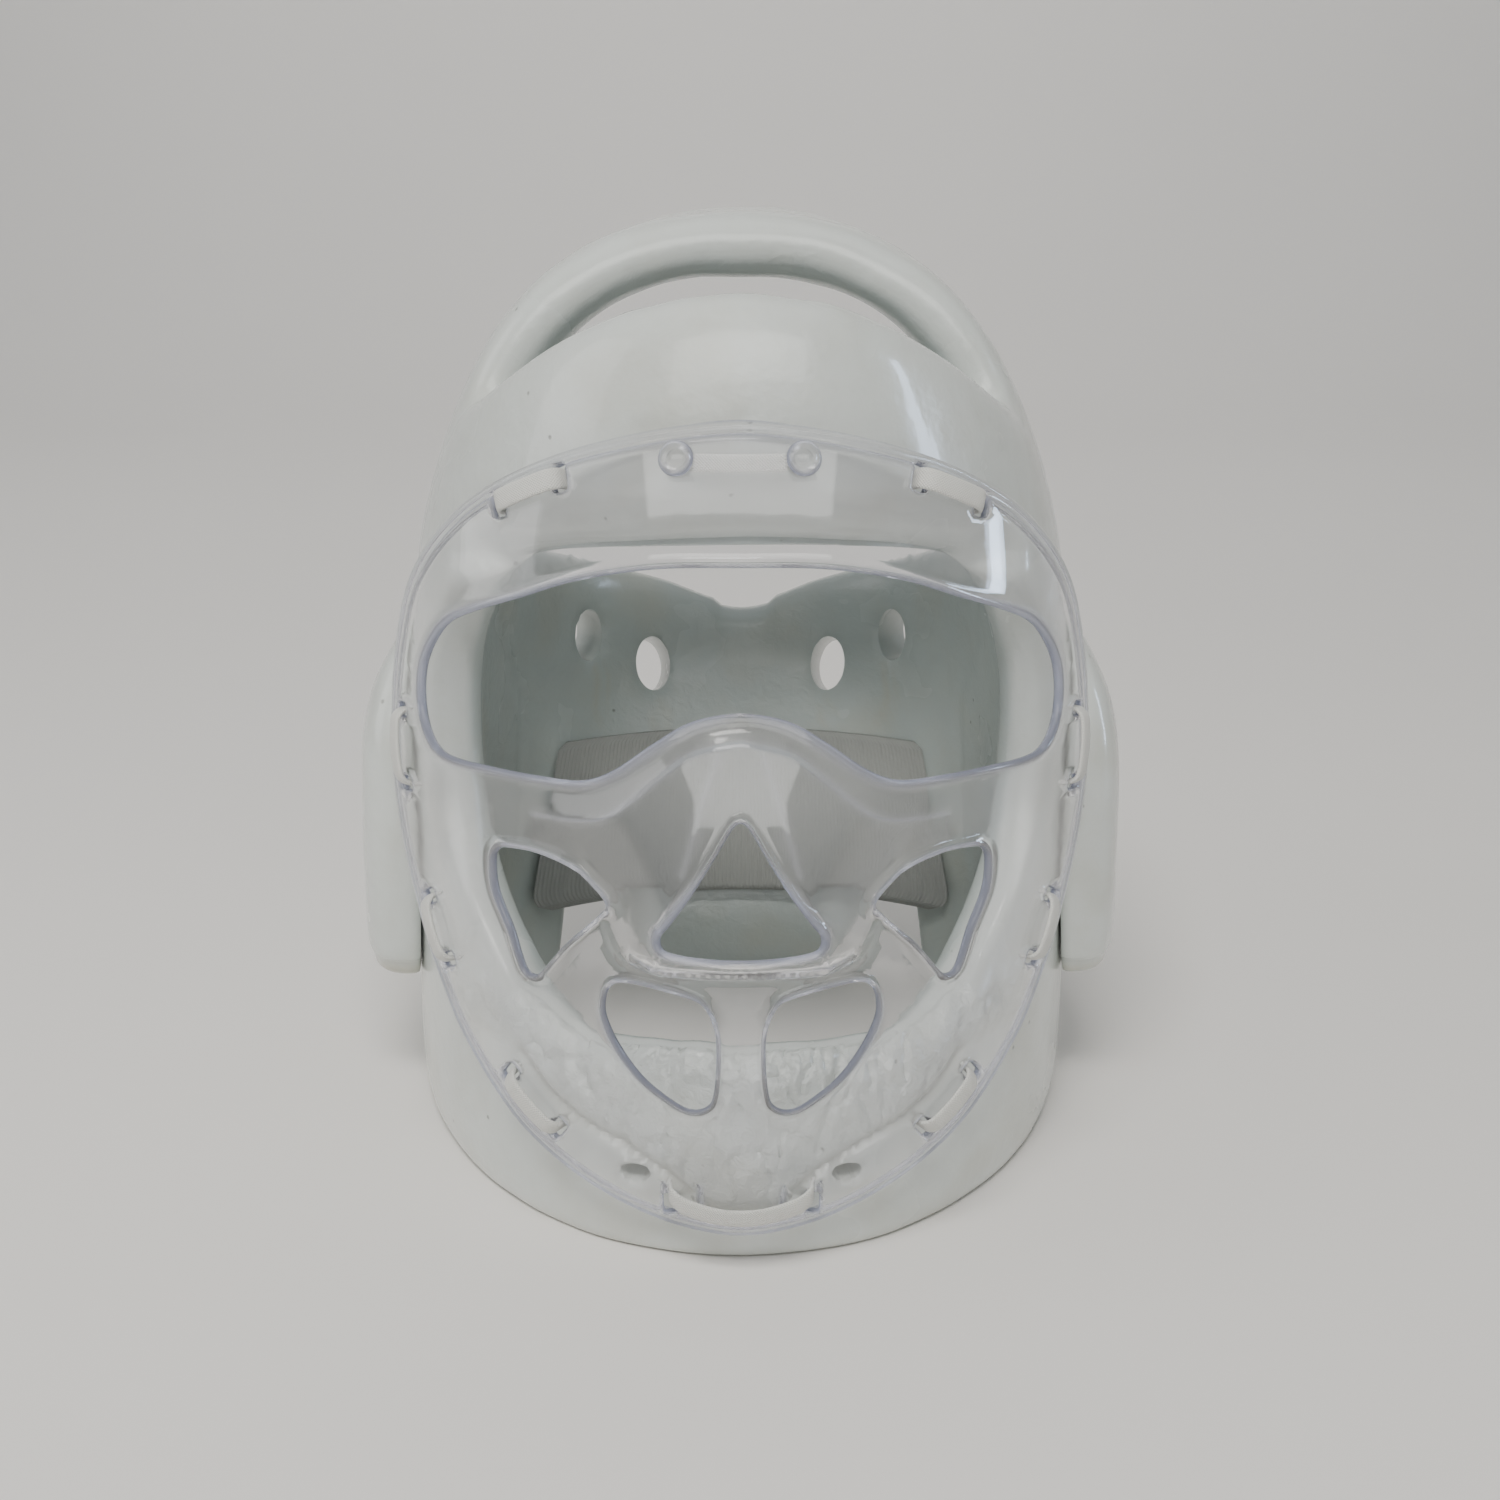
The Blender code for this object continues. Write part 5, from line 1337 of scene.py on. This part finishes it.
def dipped_foam(name, colours):
    """Closed-cell foam under a sprayed and dipped vinyl skin: soft gloss, faint orange peel, small pits,
    greyer where it was handled and where it is stained, with shade painted on the inner skin and along the
    chin's crease."""
    mat, shader = new_material(name)
    place = add_node(mat, "TexCoord").outputs["Object"]
    soil_and_shade = add_node(mat, "Attribute", attribute_name="soil_and_shade").outputs["Fac"]
    wrinkle = add_node(mat, "Attribute", attribute_name="wrinkle").outputs["Fac"]
    clouds = add_node(mat, "TexNoise", {"Scale": 28.0, "Detail": 3.0, "Roughness": 0.55}, {"Vector": place})
    peel = add_node(mat, "TexNoise", {"Scale": 620.0, "Detail": 2.0, "Roughness": 0.6}, {"Vector": place})
    dents = add_node(mat, "TexNoise", {"Scale": 150.0, "Detail": 2.0, "Roughness": 0.5}, {"Vector": place})
    folds = add_node(mat, "TexNoise", {"Scale": 240.0, "Detail": 4.0, "Roughness": 0.62, "Distortion": 0.9},
                     {"Vector": place})
    pits = add_node(mat, "TexVoronoi", {"Scale": 105.0, "Randomness": 1.0}, {"Vector": place})
    pit = add_node(mat, "MapRange", {"From Min": 0.030, "From Max": 0.075, "To Min": 1.0, "To Max": 0.0},
                   {"Value": pits.outputs["Distance"]})
    chosen = add_node(mat, "Math", {1: 0.62}, {0: pits.outputs["Color"]}, operation="GREATER_THAN")
    speck = add_node(mat, "Math", {}, {0: pit.outputs["Result"], 1: chosen.outputs["Value"]},
                     operation="MULTIPLY")
    grime = add_node(mat, "TexNoise", {"Scale": 70.0, "Detail": 4.0, "Roughness": 0.7}, {"Vector": place})
    patch = add_node(mat, "MapRange", {"From Min": 0.42, "From Max": 0.72}, {"Value": grime.outputs["Fac"]})
    handled = add_node(mat, "Math", {1: 0.16}, {0: patch.outputs["Result"]}, operation="MULTIPLY")
    # Stains, handled patches and the painted shade of the chin's crease all darken the skin here.
    stains_and_shade = add_node(mat, "Math", {}, {0: soil_and_shade, 1: handled.outputs["Value"]},
                      operation="ADD", use_clamp=True)
    marked = add_node(mat, "Math", {1: 0.55}, {0: speck.outputs["Value"]}, operation="MULTIPLY")
    tone = add_node(mat, "Mix", {"A": (*colours.foam, 1.0), "B": (*colours.foam_shade, 1.0)},
                    {"Factor": clouds.outputs["Fac"]}, data_type="RGBA")
    # Painted shade: the skin facing the guard's hollow is coloured towards a darker inner tone.
    inside = add_node(mat, "Attribute", attribute_name="inside").outputs["Fac"]
    inner_painted_shade = add_node(mat, "Mix", {"B": (*colours.foam_inside_painted_shade, 1.0)},
                      {"Factor": inside, "A": tone.outputs[2]}, data_type="RGBA")
    stained_and_shaded = add_node(mat, "Mix", {"B": (*colours.soil_and_shade, 1.0)},
                    {"Factor": stains_and_shade.outputs["Value"], "A": inner_painted_shade.outputs[2]}, data_type="RGBA")
    spotted = add_node(mat, "Mix", {"B": (*colours.speck, 1.0)},
                       {"Factor": marked.outputs["Value"], "A": stained_and_shaded.outputs[2]}, data_type="RGBA")
    gloss = add_node(mat, "MapRange", {"To Min": 0.17, "To Max": 0.34}, {"Value": clouds.outputs["Fac"]})
    creased = add_node(mat, "Math", {}, {0: folds.outputs["Fac"], 1: wrinkle}, operation="MULTIPLY")
    first = add_node(mat, "Bump", {"Strength": 0.09, "Distance": 0.0006}, {"Height": peel.outputs["Fac"]})
    second = add_node(mat, "Bump", {"Strength": 0.20, "Distance": 0.0012},
                      {"Height": dents.outputs["Fac"], "Normal": first.outputs["Normal"]})
    third = add_node(mat, "Bump", {"Strength": 0.55, "Distance": 0.0016},
                     {"Height": creased.outputs["Value"], "Normal": second.outputs["Normal"]})
    fourth = add_node(mat, "Bump", {"Strength": 0.5, "Distance": 0.0006},
                      {"Height": speck.outputs["Value"], "Normal": third.outputs["Normal"]}, invert=True)
    mat.node_tree.links.new(spotted.outputs[2], shader.inputs["Base Color"])
    mat.node_tree.links.new(gloss.outputs["Result"], shader.inputs["Roughness"])
    mat.node_tree.links.new(fourth.outputs["Normal"], shader.inputs["Normal"])
    skin = add_node(mat, "MapRange", {"To Min": 0.60, "To Max": 0.12}, {"Value": inside})
    mat.node_tree.links.new(skin.outputs["Result"], shader.inputs["Coat Weight"])
    shader.inputs["IOR"].default_value = 1.50
    shader.inputs["Coat Roughness"].default_value = 0.07
    return mat


def clear_polycarbonate(name, colours):
    """Injection-moulded polycarbonate: clear and polished, faintly wavy, with painted grey-blue shade and
    highlight lines along its edges and creases.
    """
    mat, shader = new_material(name)
    place = add_node(mat, "TexCoord").outputs["Object"]
    edge = add_node(mat, "Attribute", attribute_name="edge").outputs["Fac"]
    flow = add_node(mat, "TexNoise", {"Scale": 45.0, "Detail": 2.0}, {"Vector": place})
    scuffs = add_node(mat, "TexNoise", {"Scale": 380.0, "Detail": 5.0, "Roughness": 0.7}, {"Vector": place})
    haze = add_node(mat, "MapRange", {"From Min": 0.45, "From Max": 0.80, "To Min": 0.03, "To Max": 0.10},
                    {"Value": scuffs.outputs["Fac"]})
    wave = add_node(mat, "Bump", {"Strength": 0.06, "Distance": 0.0012}, {"Height": flow.outputs["Fac"]})
    # Painted shade and highlight: where the edge attribute is high, the plastic turns grey-blue and less
    # clear.
    tint = add_node(mat, "Mix", {"A": (*colours.shield, 1.0), "B": (*colours.shield_edge_painted_light, 1.0)},
                    {"Factor": edge}, data_type="RGBA")
    clear = add_node(mat, "MapRange", {"To Min": 0.97, "To Max": 0.55}, {"Value": edge})
    path = add_node(mat, "LightPath").outputs
    lamps = add_node(mat, "Math", {}, {0: path["Is Shadow Ray"], 1: path["Is Diffuse Ray"]},
                     operation="MAXIMUM")
    film = add_node(mat, "Mix", {"A": (0.90, 0.90, 0.91, 1.0), "B": (0.30, 0.30, 0.33, 1.0)},
                    {"Factor": edge}, data_type="RGBA")
    passing = add_node(mat, "BsdfTransparent", {}, {"Color": film.outputs[2]})
    both = add_node(mat, "MixShader", {}, {0: lamps.outputs["Value"], 1: shader.outputs["BSDF"],
                                           2: passing.outputs["BSDF"]})
    mat.node_tree.links.new(both.outputs["Shader"], mat.node_tree.nodes["Material Output"].inputs["Surface"])
    mat.node_tree.links.new(tint.outputs[2], shader.inputs["Base Color"])
    mat.node_tree.links.new(haze.outputs["Result"], shader.inputs["Roughness"])
    mat.node_tree.links.new(wave.outputs["Normal"], shader.inputs["Normal"])
    mat.node_tree.links.new(clear.outputs["Result"], shader.inputs["Transmission Weight"])
    shader.inputs["IOR"].default_value = 1.585
    shader.inputs["Specular IOR Level"].default_value = 0.40
    return mat


def woven_elastic(name, colour, thread, strength):
    """Elastic braided over rubber threads: matt, with ribs along it and picks across, a thread apart."""
    mat, shader = new_material(name)
    run = add_node(mat, "Attribute", attribute_name="run").outputs["Fac"]
    across = add_node(mat, "Attribute", attribute_name="across").outputs["Fac"]
    place = add_node(mat, "TexCoord").outputs["Object"]
    along = add_node(mat, "Math", {1: 2 * math.pi / thread}, {0: run}, operation="MULTIPLY")
    sideways = add_node(mat, "Math", {1: 2 * math.pi / thread}, {0: across}, operation="MULTIPLY")
    picks = add_node(mat, "Math", {}, {0: along.outputs["Value"]}, operation="SINE")
    ribs = add_node(mat, "Math", {}, {0: sideways.outputs["Value"]}, operation="SINE")
    weave = add_node(mat, "Math", {}, {0: picks.outputs["Value"], 1: ribs.outputs["Value"]},
                     operation="MULTIPLY")
    fuzz = add_node(mat, "TexNoise", {"Scale": 1400.0, "Detail": 3.0}, {"Vector": place})
    height = add_node(mat, "Math", {}, {0: weave.outputs["Value"], 1: fuzz.outputs["Fac"]}, operation="ADD")
    # Painted shade: the weave's low threads are coloured darker than its raised ones.
    shade = add_node(mat, "MapRange", {"From Min": -1.0, "From Max": 1.0}, {"Value": weave.outputs["Value"]})
    dark = [c * 0.72 for c in colour]
    tone = add_node(mat, "Mix", {"A": (*dark, 1.0), "B": (*colour, 1.0)}, {"Factor": shade.outputs["Result"]},
                    data_type="RGBA")
    bump = add_node(mat, "Bump", {"Strength": strength, "Distance": 0.0003},
                    {"Height": height.outputs["Value"]})
    mat.node_tree.links.new(tone.outputs[2], shader.inputs["Base Color"])
    mat.node_tree.links.new(bump.outputs["Normal"], shader.inputs["Normal"])
    shader.inputs["Roughness"].default_value = 0.78
    shader.inputs["Sheen Weight"].default_value = 0.15
    return mat


def painted_floor(name, colour):
    """Matt painted board: even, with a faint cloudiness from the roller."""
    mat, shader = new_material(name)
    place = add_node(mat, "TexCoord").outputs["Object"]
    clouds = add_node(mat, "TexNoise", {"Scale": 3.0, "Detail": 2.0}, {"Vector": place})
    dark = [c * 0.965 for c in colour]
    tone = add_node(mat, "Mix", {"A": (*dark, 1.0), "B": (*colour, 1.0)}, {"Factor": clouds.outputs["Fac"]},
                    data_type="RGBA")
    mat.node_tree.links.new(tone.outputs[2], shader.inputs["Base Color"])
    shader.inputs["Roughness"].default_value = 0.62
    return mat


# Stage


def add_light(light, layer):
    """One layer of an area light. The layers of a light shrink towards its middle."""
    share = 1.0 if light["layers"] == 1 else mix(*LAYER_SHARES, layer / (light["layers"] - 1))
    lamp = bpy.data.lights.new(light["name"], "AREA")
    lamp.shape = "RECTANGLE"
    lamp.size, lamp.size_y = light["size"][0] * share, light["size"][1] * share
    lamp.energy = light["power"] * share ** 2 / light["layers"]
    lamp.color = linear(light["colour"])
    obj = bpy.data.objects.new(f"{light['name']}_{layer}", lamp)
    obj.location = Vector(light["place"])
    obj.rotation_euler = (Vector(light["aim"]) - obj.location).to_track_quat("-Z", "Y").to_euler()
    obj.visible_camera = False
    obj.visible_diffuse = light["room"]
    obj.visible_glossy = light["gloss"]
    bpy.context.scene.collection.objects.link(obj)


# Finishing a piece


def settle(obj, mat, slot, *nodes):
    """Moves a mesh to the solids' frame, paints it, and hands it to the frame in place of its nodes."""
    obj.data.transform(Matrix.Translation((0, CENTRE_SHIFT, 0)))
    obj.data.materials.clear()
    obj.data.materials.append(mat)
    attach(obj, "root")
    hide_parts(*nodes)


# Add-on


class HeadGuardSizes(bpy.types.PropertyGroup):
    """Sizes of the guard's parts that a user would change."""
    foam: bpy.props.FloatProperty(name="Foam thickness", description="Thickness of the padded wall",
                                  default=0.0165, min=0.005, unit="LENGTH")
    wall: bpy.props.FloatProperty(name="Shield wall", description="Thickness of the clear shield",
                                  default=0.0028, min=0.001, unit="LENGTH")
    tape: bpy.props.FloatProperty(name="Tape width", description="Width of the white elastic loops",
                                  default=0.0050, min=0.002, unit="LENGTH")
    tape_thick: bpy.props.FloatProperty(name="Tape thickness", default=0.0013, min=0.0005, unit="LENGTH",
                                        description="Thickness of the white elastic loops")
    strap_thick: bpy.props.FloatProperty(name="Strap thickness", default=0.0024, min=0.0008, unit="LENGTH",
                                         description="Thickness of the ribbed nape strap")
    rib: bpy.props.FloatProperty(name="Rib spacing", description="Distance between the nape strap's ribs",
                                 default=0.00135, min=0.0008, unit="LENGTH")


class HeadGuardColours(bpy.types.PropertyGroup):
    """Colours of the guard's materials."""
    foam: bpy.props.FloatVectorProperty(name="Foam", description="Skin of the foam", subtype="COLOR",
                                        default=linear("#D6DAD6"))
    foam_shade: bpy.props.FloatVectorProperty(name="Foam shade", subtype="COLOR", default=linear("#CFD5D1"),
                                              description="Greener tone of the foam's skin")
    # Painted shade: a darker colour for the skin inside the guard, standing in for the shade in its hollow.
    foam_inside_painted_shade: bpy.props.FloatVectorProperty(name="Painted inner shade", description="Painted shade on the skin inside the guard",
                                               subtype="COLOR", default=linear("#B6BFBC"))
    # Stains, and painted shade along the chin's crease.
    soil_and_shade: bpy.props.FloatVectorProperty(name="Soiled and shaded foam", description="Stains on the foam, and painted shade in its chin crease", subtype="COLOR",
                                        default=linear("#B9B7A8"))
    speck: bpy.props.FloatVectorProperty(name="Specks", description="Small marks in the foam's skin",
                                         subtype="COLOR", default=linear("#6A6A62"))
    shield: bpy.props.FloatVectorProperty(name="Shield", description="Clear shield", subtype="COLOR",
                                          default=linear("#FEFEFF"))
    # Painted shade and highlight: the grey-blue tone painted along the shield's edges and creases.
    shield_edge_painted_light: bpy.props.FloatVectorProperty(name="Shield edge", description="Painted shade and highlight along the clear shield's edges",
                                               subtype="COLOR", default=linear("#A6ABBF"))
    elastic: bpy.props.FloatVectorProperty(name="White elastic", description="Elastic loops", subtype="COLOR",
                                           default=linear("#E8E8E2"))
    # Painted shade: the strap's grey, darker than the foam's, stands in for the shade in the guard's hollow.
    strap: bpy.props.FloatVectorProperty(name="Nape strap", description="Ribbed elastic inside the nape",
                                         subtype="COLOR", default=linear("#ACAEAA"))
    floor: bpy.props.FloatVectorProperty(name="Floor", description="Floor and backdrop", subtype="COLOR",
                                         default=linear("#F0EDE9"))


class HEADGUARD_OT_foam(bpy.types.Operator):
    """Add the dipped-foam guard with its band, crown hoop, sides, nape and chin"""
    bl_idname = "headguard.foam"
    bl_label = "Foam guard"

    def execute(self, context):
        obj = build_guard(context.scene.headguard_sizes)
        settle(obj, dipped_foam("dipped foam", context.scene.headguard_colours), "dipped_foam", "foam_shell")
        return {"FINISHED"}


class HEADGUARD_OT_ears(bpy.types.Operator):
    """Add the two ear cups on the guard's sides"""
    bl_idname = "headguard.ears"
    bl_label = "Ear cups"

    def execute(self, context):
        surface = guard_surface()
        mat = dipped_foam("dipped ear foam", context.scene.headguard_colours)
        for side, label in ((1.0, "right"), (-1.0, "left")):
            obj = build_ear(side, f"ear_cup_{label}", surface)
            settle(obj, mat, "dipped_foam", f"ear_pad_{label}")
        return {"FINISHED"}


class HEADGUARD_OT_shield(bpy.types.Operator):
    """Add the clear moulded shield with its openings and slots"""
    bl_idname = "headguard.shield"
    bl_label = "Clear shield"

    def execute(self, context):
        obj = build_shield(context.scene.headguard_sizes)
        settle(obj, clear_polycarbonate("clear polycarbonate", context.scene.headguard_colours),
               "clear_polycarbonate", "face_shield")
        return {"FINISHED"}


class HEADGUARD_OT_elastics(bpy.types.Operator):
    """Add the white elastic loops that tie the shield on"""
    bl_idname = "headguard.elastics"
    bl_label = "Elastic loops"

    def execute(self, context):
        mat = woven_elastic("white woven elastic", context.scene.headguard_colours.elastic, 0.0007, 0.5)
        for obj, node in build_elastics(context.scene.headguard_sizes):
            settle(obj, mat, "white_elastic", node)
        return {"FINISHED"}


class HEADGUARD_OT_buttons(bpy.types.Operator):
    """Add the two clear round fixings at the top of the shield"""
    bl_idname = "headguard.buttons"
    bl_label = "Round fixings"

    def execute(self, context):
        mat = clear_polycarbonate("clear fixing", context.scene.headguard_colours)
        for side, label in ((1.0, "right"), (-1.0, "left")):
            obj = build_button(side, f"clear_button_{label}", context.scene.headguard_sizes)
            settle(obj, mat, "clear_polycarbonate", f"button_{label}")
        return {"FINISHED"}


class HEADGUARD_OT_strap(bpy.types.Operator):
    """Add the broad ribbed elastic inside the nape"""
    bl_idname = "headguard.strap"
    bl_label = "Nape strap"

    def execute(self, context):
        obj = build_strap(context.scene.headguard_sizes, guard_surface())
        # The strap's grey colour is painted shade of the guard's hollow.
        mat = woven_elastic("ribbed grey elastic", context.scene.headguard_colours.strap, 0.0011, 0.35)
        settle(obj, mat, "ribbed_elastic", "nape_strap")
        return {"FINISHED"}


class HEADGUARD_OT_stage(bpy.types.Operator):
    """Add the pale floor and backdrop, the soft lights and the camera"""
    bl_idname = "headguard.stage"
    bl_label = "Studio stage"

    def execute(self, context):
        scene = context.scene
        bm = bmesh.new()
        bmesh.ops.create_grid(bm, x_segments=2, y_segments=60, size=0.5)
        reach, back, bend, rise, width = FLOOR_SWEEP
        for v in bm.verts:
            run = (v.co.y + 0.5) * (back + reach + bend * math.pi / 2 + rise)
            flat = back + reach
            x = v.co.x * width
            if run < flat:
                v.co = (x, run - reach, 0.0)
            elif run < flat + bend * math.pi / 2:
                turn = (run - flat) / bend
                v.co = (x, back + bend * math.sin(turn), bend * (1.0 - math.cos(turn)))
            else:
                v.co = (x, back + bend, bend + run - flat - bend * math.pi / 2)
        bmesh.ops.recalc_face_normals(bm, faces=bm.faces)
        if sum(f.normal.z for f in bm.faces) < 0:
            bmesh.ops.reverse_faces(bm, faces=bm.faces)
        floor = make_object("floor_sweep", bm)
        floor.data.materials.append(painted_floor("painted board", scene.headguard_colours.floor))
        for light in STAGE_LIGHTS:
            for layer in range(light["layers"]):
                add_light(light, layer)
        world = bpy.data.worlds.new("soft room")
        world.use_nodes = True
        background = world.node_tree.nodes["Background"].inputs
        background["Color"].default_value = (*linear(WORLD_COLOUR), 1.0)
        background["Strength"].default_value = WORLD_STRENGTH
        scene.world = world
        lens = bpy.data.cameras.new("camera")
        lens.lens = CAMERA_LENS
        lens.sensor_width = CAMERA_SENSOR
        camera = bpy.data.objects.new("camera", lens)
        camera.location = Vector(CAMERA_PLACE) + Vector((0, CENTRE_SHIFT, 0))
        camera.rotation_euler = (math.radians(90.0 - CAMERA_DOWN), 0.0, math.radians(CAMERA_TURN))
        scene.collection.objects.link(camera)
        scene.camera = camera
        return {"FINISHED"}


class HEADGUARD_PT_panel(bpy.types.Panel):
    """Lists the pieces of the head guard in the sidebar"""
    bl_label = "Head guard"
    bl_idname = "HEADGUARD_PT_panel"
    bl_space_type = "VIEW_3D"
    bl_region_type = "UI"
    bl_category = "Head guard"

    def draw(self, context):
        for group in (context.scene.headguard_sizes, context.scene.headguard_colours):
            box = self.layout.box()
            for name in group.__annotations__:
                box.prop(group, name)
        for piece in PIECES:
            self.layout.operator(piece.bl_idname)


PIECES = (HEADGUARD_OT_foam, HEADGUARD_OT_ears, HEADGUARD_OT_shield, HEADGUARD_OT_elastics,
          HEADGUARD_OT_buttons, HEADGUARD_OT_strap, HEADGUARD_OT_stage)
CLASSES = (HeadGuardSizes, HeadGuardColours) + PIECES + (HEADGUARD_PT_panel,)


def register():
    for cls in CLASSES:
        bpy.utils.register_class(cls)
    bpy.types.Scene.headguard_sizes = bpy.props.PointerProperty(type=HeadGuardSizes)
    bpy.types.Scene.headguard_colours = bpy.props.PointerProperty(type=HeadGuardColours)


def unregister():
    del bpy.types.Scene.headguard_colours
    del bpy.types.Scene.headguard_sizes
    for cls in reversed(CLASSES):
        bpy.utils.unregister_class(cls)


def main():
    register()
    for name in ("foam", "ears", "shield", "elastics", "buttons", "strap", "stage"):
        getattr(bpy.ops.headguard, name)()


if __name__ == "__main__":
    main()
